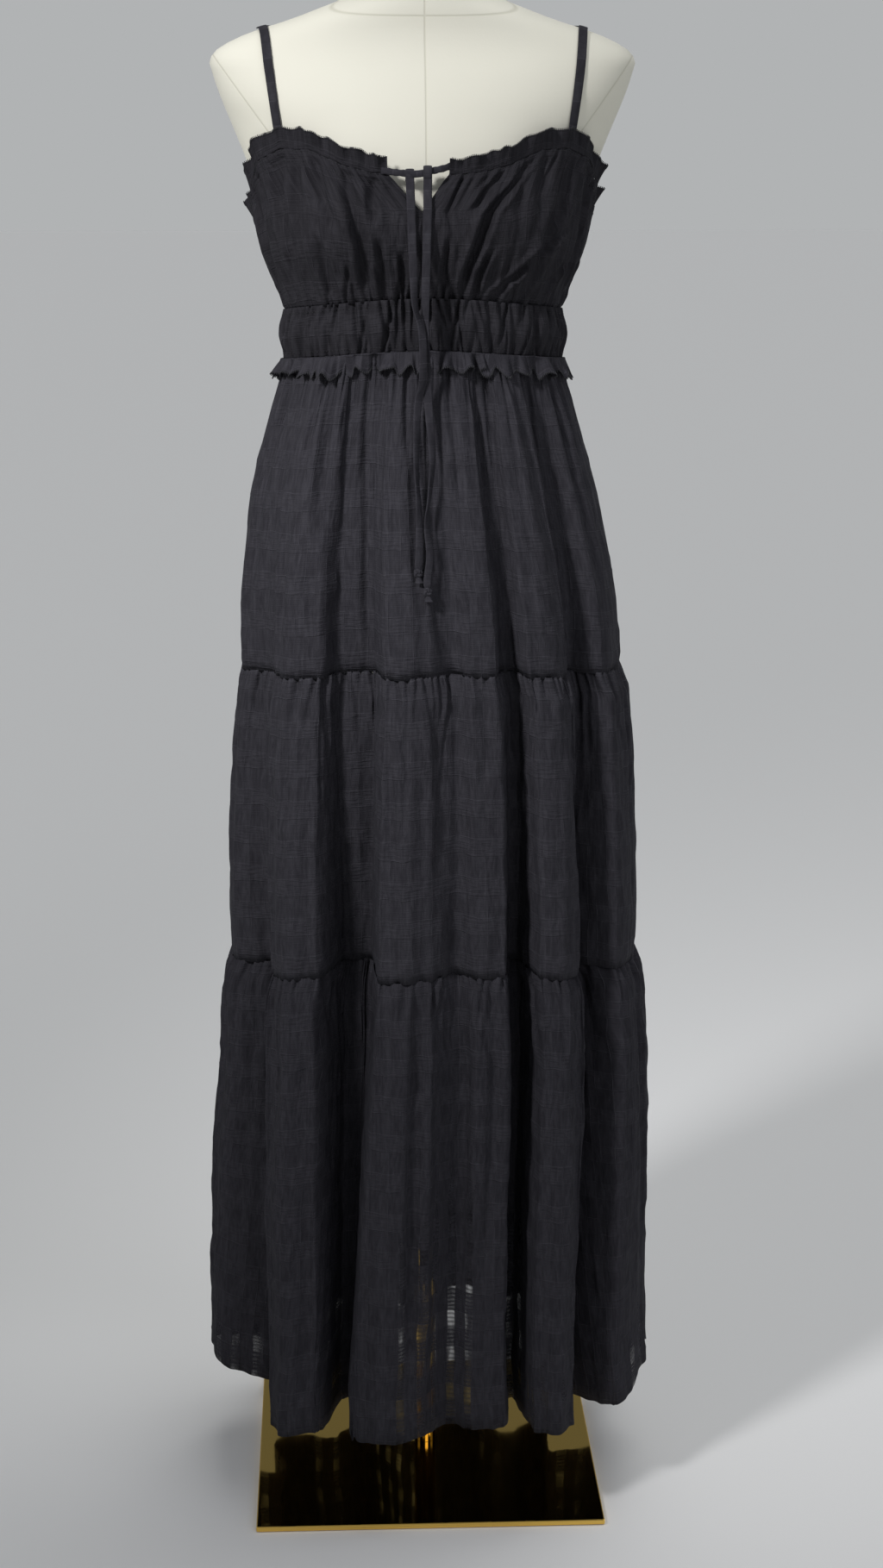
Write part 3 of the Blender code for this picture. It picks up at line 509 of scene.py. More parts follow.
# Dress: height, half width, depth in front, depth behind, shift towards +X, how much higher the front lies
dressSections = (
    (0.088, 0.2280, 0.176, 0.196, 0.006, 0.015),
    (0.124, 0.2272, 0.175, 0.194, 0.005, 0.016),
    (0.222, 0.2240, 0.172, 0.189, 0.007, 0.019),
    (0.319, 0.2235, 0.170, 0.185, 0.008, 0.022),
    (0.367, 0.2205, 0.169, 0.183, 0.010, 0.025),
    (0.461, 0.2160, 0.167, 0.180, 0.012, 0.025),
    (0.508, 0.2136, 0.166, 0.178, 0.011, 0.025),
    (0.531, 0.2112, 0.165, 0.177, 0.011, 0.025),
    (0.550, 0.2035, 0.160, 0.172, 0.011, 0.025),
    (0.600, 0.2045, 0.159, 0.171, 0.011, 0.024),
    (0.690, 0.2020, 0.156, 0.168, 0.010, 0.023),
    (0.779, 0.1972, 0.152, 0.163, 0.010, 0.022),
    (0.823, 0.1925, 0.150, 0.159, 0.010, 0.021),
    (0.845, 0.1865, 0.145, 0.154, 0.008, 0.021),
    (0.909, 0.1835, 0.140, 0.149, 0.006, 0.021),
    (0.952, 0.1780, 0.134, 0.141, 0.004, 0.020),
    (1.015, 0.1678, 0.123, 0.126, 0.001, 0.020),
    (1.057, 0.1567, 0.116, 0.112, 0.000, 0.020),
    (1.098, 0.1452, 0.108, 0.099, 0.000, 0.020),
    (1.119, 0.1387, 0.103, 0.093, 0.000, 0.020),
    (1.142, 0.1325, 0.099, 0.088, 0.000, 0.020),
    (1.165, 0.1345, 0.101, 0.090, 0.000, 0.021),
    (1.189, 0.1322, 0.101, 0.089, 0.000, 0.022),
    (1.205, 0.1370, 0.104, 0.091, 0.000, 0.022),
    (1.225, 0.1455, 0.107, 0.094, 0.000, 0.020),
    (1.245, 0.1525, 0.109, 0.097, 0.000, 0.016),
    (1.265, 0.1570, 0.1105, 0.099, 0.000, 0.010),
    (1.290, 0.1610, 0.1105, 0.101, 0.000, 0.000),
    (1.320, 0.1665, 0.1085, 0.102, 0.000, 0.000),
    (1.345, 0.1740, 0.1055, 0.102, 0.000, 0.000),
    (1.370, 0.1830, 0.1030, 0.102, 0.000, 0.000),
)
valleyNarrow = 1.25  # how much narrower valleys are than ridges
foldDrift = 2.2  # above 1 the folds leave their angle at the band only low down
foldHeights = (1.142, 0.990, 0.845, 0.690, 0.550, 0.310, 0.088)
# angle at the band, angle at the hem, outward offset in mm at each fold height
skirtFolds = (
    (-90, -90, (0, 0, 0, 0, 0, 0, 0)),
    (-80, -76, (0, 0, 2, 2, 3, 4, 5)),
    (-68, -60, (0, -7, -13, -19, -31, -44, -56)),
    (-62, -54, (0, -6, -12, -18, -28, -40, -52)),
    (-57, -50, (0, 2, 3, 4, 5, 5, 4)),
    (-51, -44, (0, 7, 9, 11, 13, 15, 17)),
    (-43, -37, (0, 2, 2, 2, 2, 2, 1)),
    (-36, -34, (0, -17, -27, -42, -60, -66, -72)),
    (-23, -31, (0, -19, -30, -48, -64, -72, -76)),
    (-18, -27, (0, 8, 10, 11, 11, 9, 7)),
    (-11, -18, (0, 9, 12, 14, 16, 18, 20)),
    (-4, -9, (0, 4, 6, 7, 8, 9, 10)),
    (6, 4, (0, -4, -8, -11, -14, -20, -24)),
    (13, 13, (0, 2, 3, 2, 1, -5, -12)),
    (21, 22, (0, 2, 3, 2, 0, -6, -12)),
    (25, 25, (0, -12, -22, -36, -56, -66, -74)),
    (29, 28, (0, -13, -24, -38, -58, -68, -76)),
    (33, 31, (0, 7, 8, 8, 8, 4, -1)),
    (39, 37, (0, 9, 11, 13, 14, 15, 15)),
    (46, 42, (0, 3, 4, 4, 5, 5, 4)),
    (50, 46, (0, -14, -24, -38, -50, -58, -66)),
    (55, 50, (0, -13, -22, -35, -46, -54, -62)),
    (61, 56, (0, 4, 5, 6, 6, 7, 8)),
    (72, 70, (0, 1, 2, 2, 2, 3, 4)),
    (80, 78, (0, -2, -4, -6, -8, -10, -12)),
    (90, 90, (0, 0, 0, 0, 0, 0, 0)),
    (103, 105, (0, -4, -7, -10, -13, -15, -18)),
    (116, 118, (0, 2, 3, 4, 5, 6, 8)),
    (131, 133, (0, -7, -12, -18, -27, -36, -46)),
    (144, 143, (0, 2, 4, 4, 5, 7, 9)),
    (157, 155, (0, -6, -9, -13, -18, -20, -24)),
    (169, 168, (0, 2, 3, 5, 5, 6, 8)),
    (184, 185, (0, -8, -14, -21, -32, -40, -52)),
    (197, 199, (0, 3, 4, 4, 6, 8, 10)),
    (210, 211, (0, -5, -8, -10, -14, -18, -24)),
    (224, 226, (0, 2, 3, 5, 6, 6, 8)),
    (240, 239, (0, -7, -12, -17, -25, -34, -44)),
    (255, 254, (0, 2, 3, 3, 4, 5, 7)),
    (270, 270, (0, 0, 0, 0, 0, 0, 0)),
)


def throughFolds(degrees, angles, depths, narrow=1.0):
    # a smooth wave through ridges and valleys; the valleys are narrower than the ridges
    low = np.clip(np.searchsorted(angles, degrees) - 1, 0, len(angles) - 2)
    share = np.clip((degrees - angles[low]) / (angles[low + 1] - angles[low]), 0.0, 1.0)
    eased = 0.5 - 0.5 * np.cos(np.pi * share)
    falling = depths[low + 1] < depths[low]
    eased = np.where(falling, eased**narrow, 1.0 - (1.0 - eased) ** narrow)
    return mix(depths[low], depths[low + 1], eased)


def skirtPlan(degrees, height):
    halfWidth, front, back, shift = sectionAt(dressSections, height)
    fallen = foldHeights[0] - height
    down = np.clip(fallen / (foldHeights[0] - foldHeights[-1]), 0.0, 1.0)
    angles = np.array([mix(fold[0], fold[1], down**foldDrift) for fold in skirtFolds])
    # the folds set in soon below the band
    first = foldHeights[0] - foldHeights[1]
    early = first * math.sqrt(max(0.0, fallen / first))
    level = max(height - (early - fallen), foldHeights[1]) if height > foldHeights[1] else height
    depths = [np.interp(level, foldHeights[::-1], fold[2][::-1]) for fold in skirtFolds]
    angle = np.radians(degrees)
    turn = (degrees + 90.0) % 360.0 - 90.0
    radius = sectionRadius(angle, halfWidth, front, back)
    # the folds lie straight back at the front and the back, and sideways at the sides
    fold = throughFolds(turn, angles, np.array(depths) / 1000, valleyNarrow)
    lie = np.stack((np.sin(angle) ** 3, -np.cos(angle)))
    lie /= np.linalg.norm(lie, axis=0)
    return np.stack((radius * np.sin(angle) + shift, -radius * np.cos(angle))) + lie * fold


def bodyPlan(degrees, height, trueHeight):
    halfWidth, front, back, shift = sectionAt(dressSections, height)
    angle = np.radians(degrees)
    radius = sectionRadius(angle, halfWidth, front, back)
    x = radius * np.sin(angle)
    swell = bustAt(x, trueHeight, True) * frontShare(angle)
    return np.stack((x + shift, -radius * np.cos(angle) - swell))


def liftAt(degrees, height):
    return readColumn(dressSections, height, 5) * (0.5 + 0.5 * np.cos(np.radians(degrees))) ** 2


# where the hem hangs higher: angle, half width in degrees, rise
hemSides = ((-82.0, 18.0, 0.050), (77.0, 17.0, 0.042))


def hemRise(degrees, down):
    turn = (degrees + 90.0) % 360.0 - 90.0
    rise = 0.0
    for angle, half, size in hemSides:
        away = np.minimum(np.abs(turn - angle), np.abs(turn - angle - 360.0)) / half
        rise = rise + size * np.exp(-away * away)
    return rise * smooth(down)


def movedOut(plan, degrees, offset):
    near = 0.4
    along = plan(degrees + near) - plan(degrees - near)
    along = along / np.linalg.norm(along, axis=0)
    return plan(degrees) + np.stack((along[1], -along[0])) * offset


def layRow(plan, degrees, offset, heights):
    # one row of a panel, set out from the plan by the offset
    flat = movedOut(plan, degrees, offset)
    return np.stack((flat[0], flat[1], np.broadcast_to(heights, flat[0].shape)), axis=-1)


def evenDegrees(plan, start, end, columns):
    fine = np.linspace(start, end, 1200)
    points = plan(fine)
    lengths = np.concatenate(([0.0], np.cumsum(np.linalg.norm(np.diff(points, axis=1), axis=0))))
    wanted = np.linspace(0.0, lengths[-1], columns)
    return np.interp(wanted, lengths, fine), wanted


# Fields of small relief over a panel: rows go down and columns across, in metres
def gatherField(along, down, gathers, seed):
    chance = np.random.RandomState(seed)
    count = max(2, int(along[-1] / gathers["spacing"]))
    places = (np.arange(count) + chance.uniform(0.1, 0.9, count)) * along[-1] / count
    widths = gathers["width"] * chance.uniform(0.6, 1.5, count)
    depths = gathers["depth"] * chance.uniform(0.3, 1.0, count)
    reaches = gathers["reach"] * chance.uniform(0.3, 1.7, count)
    leans = gathers["lean"] * chance.uniform(-1.0, 1.0, count)
    field = np.zeros((len(down), len(along)))
    for place, width, depth, reach, lean in zip(places, widths, depths, reaches, leans):
        spread = width * (1.0 + 0.9 * down[:, None] / reach)
        across = (along[None, :] - place - lean * down[:, None]) / spread
        field -= depth * np.exp(-across * across) * np.exp(-((down[:, None] / reach) ** 1.3))
    return field


def creaseField(degrees, down, creases):
    # each crease: points of (metres down, degrees), depth in mm, half width in degrees
    field = np.zeros((len(down), degrees.shape[-1]))
    for route, depth, width in creases:
        drops = [point[0] for point in route]
        centre = np.interp(down, drops, [point[1] for point in route])[:, None]
        fade = 0.28 * (drops[-1] - drops[0])
        window = smooth((down - drops[0]) / fade + 0.25) * smooth((drops[-1] - down) / fade + 0.1)
        across = (degrees - centre) / width
        trough = np.exp(-across * across) - 0.45 * np.exp(-((np.abs(across) - 1.7) ** 2))
        field -= depth / 1000 * trough * window[:, None]
    return field


def crinkleField(along, down, cellAcross, cellDown, seed):
    across, drop = along / cellAcross, (down - down[0]) / cellDown
    lattice = np.random.RandomState(seed).uniform(-1.0, 1.0, (int(drop[-1]) + 3, int(across[-1]) + 3))
    column, row = across.astype(int), drop.astype(int)
    x, y = smooth(across - column)[None, :], smooth(drop - row)[:, None]
    upper = mix(lattice[np.ix_(row, column)], lattice[np.ix_(row, column + 1)], x)
    lower = mix(lattice[np.ix_(row + 1, column)], lattice[np.ix_(row + 1, column + 1)], x)
    return mix(upper, lower, y)


def footGathers(along, down, gathers, seed):
    # gathers that rise from a panel's lower seam
    return gatherField(along, down[-1] - down[::-1], gathers, seed)[::-1]


def crinkled(along, down, layers, seed):
    # layers of crinkle: depth, and the size of a cell across and down
    return sum(
        depth * crinkleField(along, down, across, fall, seed + place)
        for place, (depth, across, fall) in enumerate(layers)
    )


def sideFade(along, reach=0.007):
    # relief dies out at a panel's side seams, so that its neighbour meets it
    return smooth(along / reach) * smooth((along[-1] - along) / reach)


clothWall = 0.0005
panelSpans = {"Front": (-90.0, 90.0), "Back": (90.0, 270.0)}
panels = {}


def makePanel(name, points, along, down, material, node, flat, restsOn, shift=(0.0, 0.0)):
    # shift moves the woven check on the panel
    rows, columns = points.shape[:2]
    scale = flat[0] / along[-1]
    uvs = np.stack(np.meshgrid(along * scale + shift[0], down + shift[1]), axis=-1).reshape(-1, 2)
    faces = gridFaces(rows, columns)
    piece = newPiece(name, points.reshape(-1, 3), faces, material, [node], uvs)
    wall = piece.modifiers.new("cloth", "SOLIDIFY")
    wall.thickness = clothWall
    wall.offset = -1.0
    panels[name] = points
    return piece


# Tiers
bandTop, bandBottom, hemHeight = 1.189, 1.142, 0.088
tiers = {
    "One": {
        "top": 1.142,
        "bottom": 0.845,
        "columns": 480,
        "rows": 38,
        "gathers": {"spacing": 0.0092, "width": 0.0020, "depth": 0.0052, "reach": 0.070, "lean": 0.08},
        "foot": {"spacing": 0.019, "width": 0.0045, "depth": 0.0016, "reach": 0.030, "lean": 0.10},
        "shift": (0.0035, 0.004),
        "restsOn": ["waistband_front", "waistband_back"],
    },
    "Two": {
        "top": 0.845,
        "bottom": 0.550,
        "columns": 500,
        "rows": 42,
        "gathers": {"spacing": 0.0100, "width": 0.0019, "depth": 0.0068, "reach": 0.032, "lean": 0.20},
        "foot": {"spacing": 0.024, "width": 0.0050, "depth": 0.0015, "reach": 0.030, "lean": 0.10},
        "shift": (0.0120, 0.010),
        "restsOn": ["tier_one_front", "tier_one_back"],
    },
    "Three": {
        "top": 0.550,
        "bottom": 0.088,
        "columns": 550,
        "rows": 49,
        "gathers": {"spacing": 0.0115, "width": 0.0022, "depth": 0.0075, "reach": 0.034, "lean": 0.22},
        "foot": {"spacing": 0.060, "width": 0.0090, "depth": 0.0030, "reach": 0.050, "lean": 0.10},
        "shift": (0.0060, 0.016),
        "restsOn": ["tier_two_front", "tier_two_back"],
    },
}
# all the tiers: crinkles are depth, cell across and cell down
tierCloth = {
    "fullness": 1.20,
    "allowance": 0.020,
    "evenAt": 0.6,
    "longGathers": {"spacing": 0.019, "reach": 0.110},
    "longShare": 0.35,
    "creaseDepth": 1.5,
    "crinkles": ((0.0012, 0.0065, 0.030), (0.0008, 0.0140, 0.0120)),
    "topTuck": 0.0012,
    "topTuckReach": 0.0030,
    "footTuck": 0.0016,
    "footTuckReach": 0.0040,
    "overlap": 0.0016,
    "hemWave": (0.0028, 0.030, 0.060),
    "hemWaveFrom": 0.8,
    "hemJags": ((0.0026, 0.022), (0.0010, 0.007)),
}
# main creases of each tier: route of (metres below the tier's top, degrees), depth in mm, half width in
# degrees
tierCreases = {
    "OneFront": (
        (((0.000, -46), (0.080, -44), (0.165, -41)), 3.0, 2.6),
        (((0.000, -71), (0.110, -74), (0.260, -76)), 2.2, 2.4),
        (((0.000, -10), (0.045, -10), (0.095, -9)), 2.0, 1.6),
        (((0.010, 10), (0.080, 12), (0.150, 14)), 2.2, 2.0),
        (((0.000, 23), (0.070, 24), (0.130, 26)), 1.6, 1.6),
        (((0.000, 41), (0.060, 43), (0.200, 45)), 1.6, 2.2),
        (((0.015, 62), (0.110, 62), (0.240, 64)), 2.6, 2.2),
        (((0.000, -29), (0.120, -27), (0.297, -25)), 2.4, 2.0),
        (((0.100, -53), (0.180, -55), (0.280, -56)), 1.8, 2.4),
        (((0.120, 1), (0.200, 0), (0.290, 2)), 1.4, 2.2),
    ),
    "OneBack": (
        (((0.000, 112), (0.090, 110), (0.180, 108)), 2.6, 2.2),
        (((0.000, 138), (0.060, 137), (0.130, 138)), 2.0, 1.8),
        (((0.010, 163), (0.090, 165), (0.170, 164)), 2.4, 2.2),
        (((0.000, 191), (0.110, 190), (0.230, 192)), 2.2, 2.0),
        (((0.000, 218), (0.070, 217), (0.140, 219)), 1.8, 1.8),
        (((0.010, 247), (0.100, 248), (0.220, 246)), 2.6, 2.4),
    ),
    "TwoFront": (
        (((0.000, -49), (0.070, -50), (0.150, -48)), 1.8, 2.2),
        (((0.030, -20), (0.110, -17), (0.200, -16)), 1.6, 2.0),
        (((0.000, -3), (0.090, 0), (0.240, -1)), 2.2, 2.4),
        (((0.000, 14), (0.060, 16), (0.120, 15)), 1.8, 1.8),
        (((0.090, 33), (0.180, 31), (0.290, 32)), 1.8, 2.0),
        (((0.000, 45), (0.120, 46), (0.250, 48)), 2.0, 2.0),
        (((0.020, 72), (0.140, 71), (0.280, 73)), 2.2, 2.2),
        (((0.020, -80), (0.120, -79), (0.250, -80)), 1.8, 2.2),
    ),
    "TwoBack": (
        (((0.000, 99), (0.080, 100), (0.190, 98)), 2.0, 2.2),
        (((0.000, 125), (0.100, 124), (0.220, 126)), 2.2, 2.2),
        (((0.020, 150), (0.110, 151), (0.190, 149)), 1.8, 2.0),
        (((0.000, 177), (0.120, 176), (0.280, 178)), 2.6, 2.4),
        (((0.000, 204), (0.060, 205), (0.140, 203)), 1.8, 1.8),
        (((0.020, 232), (0.140, 233), (0.260, 231)), 2.2, 2.2),
        (((0.000, 262), (0.090, 261), (0.210, 263)), 2.0, 2.0),
    ),
    "ThreeFront": (
        (((0.000, -22), (0.050, -24), (0.100, -24)), 2.2, 2.0),
        (((0.010, -8), (0.150, -9), (0.420, -8)), 3.0, 2.2),
        (((0.060, 0), (0.220, -1), (0.440, 0)), 2.4, 2.0),
        (((0.020, 7), (0.160, 8), (0.330, 7)), 2.0, 1.8),
        (((0.000, 17), (0.140, 17), (0.300, 16)), 2.4, 1.8),
        (((0.000, -52), (0.090, -51), (0.210, -53)), 1.8, 2.2),
        (((0.060, 42), (0.200, 43), (0.400, 42)), 2.0, 2.0),
        (((0.000, 68), (0.160, 69), (0.380, 70)), 2.6, 2.2),
        (((0.050, -78), (0.220, -77), (0.420, -79)), 2.2, 2.0),
        (((0.200, -40), (0.300, -41), (0.440, -40)), 1.6, 2.0),
    ),
    "ThreeBack": (
        (((0.000, 98), (0.150, 97), (0.350, 98)), 2.4, 2.0),
        (((0.020, 124), (0.180, 125), (0.400, 124)), 2.4, 2.2),
        (((0.000, 149), (0.120, 148), (0.260, 150)), 2.0, 2.0),
        (((0.040, 175), (0.220, 174), (0.430, 176)), 2.8, 2.2),
        (((0.000, 205), (0.140, 206), (0.320, 205)), 2.2, 2.0),
        (((0.050, 233), (0.240, 232), (0.430, 234)), 2.4, 2.2),
        (((0.000, 262), (0.160, 263), (0.370, 262)), 2.0, 2.0),
    ),
}


# where the lowest tier lies single and lets light through: angle, half width in degrees, the height up to
# which it does, and how much
sheerPlaces = {
    "Front": (
        (-7.0, 6.5, 0.300, 1.0),
        (7.5, 7.5, 0.340, 1.0),
        (26.5, 3.0, 0.290, 0.5),
        (-34.0, 3.0, 0.210, 0.30),
        (-48.0, 6.0, 0.115, 0.35),
        (-76.0, 10.0, 0.146, 0.5),
        (72.0, 12.0, 0.152, 0.7),
        (35.0, 8.0, 0.150, 0.4),
    ),
    "Back": (
        (104.0, 6.0, 0.190, 0.5),
        (132.0, 7.0, 0.260, 0.7),
        (158.0, 5.0, 0.170, 0.5),
        (186.0, 10.0, 0.300, 0.9),
        (212.0, 5.0, 0.200, 0.6),
        (238.0, 8.0, 0.240, 0.7),
        (258.0, 6.0, 0.150, 0.5),
    ),
}


def sheerField(degrees, heights, places):
    field = np.zeros((len(heights), len(degrees)))
    for angle, half, upTo, share in places:
        across = smooth((half - np.abs(degrees - angle)) / (0.35 * half) + 0.5)
        below = smooth((upTo - heights) / 0.050 + 0.5)
        field = np.maximum(field, share * below[:, None] * across[None, :])
    return field


def storeField(piece, name, field):
    layer = piece.data.attributes.new(name, "FLOAT", "POINT")
    layer.data.foreach_set("value", field.astype(np.float32).ravel())


def shareOut(rows, power=1.35):
    # rows closer together near the seam above
    return np.linspace(0.0, 1.0, rows) ** power


def makeTier(number, side, seed):
    tier = tiers[number]
    hem = number == "Three"
    drop = tier["top"] - tier["bottom"]
    evenHeight = tier["top"] - tierCloth["evenAt"] * drop
    degrees, along = evenDegrees(lambda turn: skirtPlan(turn, evenHeight), *panelSpans[side], tier["columns"])
    down = shareOut(tier["rows"]) * drop
    relief = gatherField(along, down, tier["gathers"], seed)
    longGathers = {**tier["gathers"], **tierCloth["longGathers"]}
    relief += tierCloth["longShare"] * gatherField(along, down, longGathers, seed + 1)
    relief += footGathers(along, down, tier["foot"], seed + 2)
    relief += tierCloth["creaseDepth"] * creaseField(degrees, down, tierCreases[number + side])
    relief += crinkled(along, down, tierCloth["crinkles"], seed + 3)
    relief *= sideFade(along)
    if hem:
        low = smooth((down / drop - tierCloth["hemWaveFrom"]) / (1.0 - tierCloth["hemWaveFrom"]))
        relief += crinkled(along, down, [tierCloth["hemWave"]], seed + 5) * low[:, None] * sideFade(along)
    points = np.zeros((len(down), len(along), 3))
    for row, fall in enumerate(down):
        height = tier["top"] - fall
        # the cloth is drawn in at the seams
        tuck = -tierCloth["topTuck"] * smooth(1.0 - fall / tierCloth["topTuckReach"])
        heights = height + liftAt(degrees, height)
        if hem:
            heights += hemRise(degrees, fall / drop)
        else:
            tuck -= tierCloth["footTuck"] * smooth((fall - drop) / tierCloth["footTuckReach"] + 1.0)
        points[row] = layRow(lambda turn: skirtPlan(turn, height), degrees, relief[row] + tuck, heights)
    points[0, :, 2] += tierCloth["overlap"]
    if hem:
        for place, (depth, cell) in enumerate(tierCloth["hemJags"]):
            points[-3:, :, 2] += depth * crinkleField(along, down[:2], cell, 1.0, seed + 6 + place)[0]
    flat = (round(float(along[-1]) * tierCloth["fullness"], 3), round(drop + tierCloth["allowance"], 3))
    cloth = hemShadedMaterial if hem else linedMaterial
    node = f"tier_{number.lower()}_{side.lower()}"
    name = f"tier{number}{side}"
    piece = makePanel(name, points, along, down, cloth, node, flat, tier["restsOn"], tier["shift"])
    if hem:
        storeField(piece, "sheer", sheerField(degrees, tier["top"] - down, sheerPlaces[side]))


for number, seed in (("One", 11), ("Two", 31), ("Three", 51)):
    makeTier(number, "Front", seed)
    makeTier(number, "Back", seed + 100)
    print("tier", number, "made")

# Waistband: a flat panel drawn up between two corded seams, and the small frill below it
band = {
    "columns": 560,
    "rows": 18,
    "gathers": {"spacing": 0.0078, "width": 0.0016, "depth": 0.0108, "reach": 0.028, "lean": 0.30},
    "crinkles": ((0.0006, 0.006, 0.012),),
    "bulge": 0.0046,
    "seamRoll": 0.0016,
    "rollMiddle": 0.0012,
    "rollHalf": 0.0014,
    "fullness": 1.25,
    "allowance": 0.004,
}


def makeBand(side, seed):
    edge = panelSpans[side]
    degrees, along = evenDegrees(lambda turn: bodyPlan(turn, bandTop, bandTop), *edge, band["columns"])
    drop = bandTop - bandBottom
    down = np.linspace(0.0, drop, band["rows"])
    relief = gatherField(along, down, band["gathers"], seed)
    relief += footGathers(along, down, band["gathers"], seed + 1)
    relief += crinkled(along, down, band["crinkles"], seed + 2)
    between = np.sin(np.pi * down / drop)[:, None]
    relief = (relief * (0.5 + 0.5 * between) + band["bulge"] * between) * sideFade(along)
    # the rounded seams along both edges
    fromEdge = np.minimum(down, drop - down)
    relief += band["seamRoll"] * np.exp(-(((fromEdge - band["rollMiddle"]) / band["rollHalf"]) ** 2))[:, None]
    points = np.zeros((len(down), len(along), 3))
    for row, fall in enumerate(down):
        height = bandTop - fall
        lifted = height + liftAt(degrees, height)
        points[row] = layRow(lambda turn: bodyPlan(turn, height, lifted), degrees, relief[row], lifted)
    flat = (round(float(along[-1]) * band["fullness"], 3), round(drop + band["allowance"], 3))
    node = f"waistband_{side.lower()}"
    makePanel("waistband" + side, points, along, down, gatheredShadedMaterial, node, flat, ["form_torso"])


# the small waves and the jags of the free edge are shares of the waves
frill = {
    "columns": 430,
    "rows": 12,
    "drop": 0.0145,
    "waveLength": 0.0115,
    "wave": 0.0058,
    "smallLength": 0.42,
    "smallWave": 0.3,
    "jagLength": 0.7,
    "jag": 0.0044,
    "clearance": 0.0034,
    "stand": 0.0016,
    "overlap": 0.0012,
    "fullness": 1.5,
}


def waveField(along, length, seed):
    # uneven waves with sharper crests, as in a gathered frill
    chance = np.random.RandomState(seed)
    count = max(2, round(along[-1] / length))
    steps = np.cumsum(chance.uniform(0.45, 1.7, count + 2))
    steps = (steps - steps[0]) / (steps[-1] - steps[0]) * along[-1]
    sizes = chance.uniform(0.25, 1.3, count + 2) * np.where(np.arange(count + 2) % 2 == 0, 1.0, -1.0)
    return throughFolds(along, steps, sizes)


def makeFrill(side, seed):
    edge = panelSpans[side]
    degrees, along = evenDegrees(lambda turn: skirtPlan(turn, bandBottom), *edge, frill["columns"])
    down = np.linspace(0.0, 1.0, frill["rows"])
    length = frill["waveLength"]
    wave = waveField(along, length, seed) * frill["wave"]
    small = waveField(along, length * frill["smallLength"], seed + 1) * frill["wave"] * frill["smallWave"]
    jag = waveField(along, length * frill["jagLength"], seed + 2) * frill["jag"]
    points = np.zeros((len(down), len(along), 3))
    for row, share in enumerate(down):
        height = bandBottom - share * frill["drop"]
        full = share**0.8
        waves = (wave + small * (1.0 - 0.3 * share)) * full * sideFade(along)
        offset = frill["clearance"] + frill["stand"] * share**1.2 + waves
        heights = height + liftAt(degrees, height) + jag * full + frill["overlap"] * (1.0 - share)
        points[row] = layRow(lambda turn: skirtPlan(turn, height), degrees, offset, heights)
    flat = (round(float(along[-1]) * frill["fullness"], 3), frill["drop"])
    node, owner = f"peplum_{side.lower()}", f"waistband_{side.lower()}"
    makePanel("waistFrill" + side, points, along, down * frill["drop"], linedMaterial, node, flat, [owner])


for side, seed in (("Front", 5), ("Back", 105)):
    makeBand(side, seed)
    makeFrill(side, seed + 40)
print("waistband made")

# Bodice: the neckline's angle, the height of the casing's seam and of the ruffle's free edge
neckline = (
    (0, 1.3220, 1.3340),
    (14, 1.3220, 1.3340),
    (25, 1.3235, 1.3390),
    (37, 1.3300, 1.3460),
    (50, 1.3435, 1.3605),
    (60, 1.3440, 1.3615),
    (70, 1.3330, 1.3510),
    (80, 1.3060, 1.3220),
    (92, 1.2770, 1.2930),
    (110, 1.2620, 1.2770),
    (140, 1.2580, 1.2730),
    (180, 1.2570, 1.2720),
)
bodicePanels = {
    "Left": {"node": "bodice_front_left", "columns": 200, "width": 0.215, "depth": 0.135},
    "Right": {"node": "bodice_front_right", "columns": 200, "width": 0.215, "depth": 0.135},
    "Back": {"node": "bodice_back", "columns": 270, "width": 0.36, "depth": 0.080},
}
bodice = {
    "rows": 76,
    # the keyhole: the height of its foot, and the angles of its corners and of the centre seam
    "notchHeight": 1.289,
    "notchLeft": -18.5,
    "notchRight": 10.5,
    "centreSeam": -2.6,
    "topGathers": {"spacing": 0.0095, "width": 0.0022, "depth": 0.0062, "reach": 0.036, "lean": 0.25},
    "footGathers": {"spacing": 0.0090, "width": 0.0021, "depth": 0.0074, "reach": 0.032, "lean": 0.30},
    "creaseDepth": 2.6,
    "crinkles": ((0.0007, 0.006, 0.022), (0.0005, 0.013, 0.010)),
    # relief takes this share of the room above the form, less a clearance, within these limits
    "roomShare": 0.8,
    "roomClearance": 0.0018,
    "deepest": 0.0085,
    "highest": 0.0060,
    "casing": 0.0085,
    "casingSwell": 0.0009,
    "footTuck": 0.0012,
    "fullness": 1.25,
    "allowance": 0.010,
    "shift": (0.009, 0.012),
}
ruffle = {
    "rows": 12,
    "waveLength": 0.0155,
    "smallLength": 0.4,
    "smallWave": 0.3,
    "jagLength": 0.8,
    "neckWave": 0.0034,
    "armholeWave": 0.0048,
    "neckJag": 0.0012,
    "armholeJag": 0.0010,
    "lean": 0.0035,
    "overlap": 0.0006,
    "depth": 0.017,
    "flatDepth": 0.018,
    "fullness": 1.35,
}
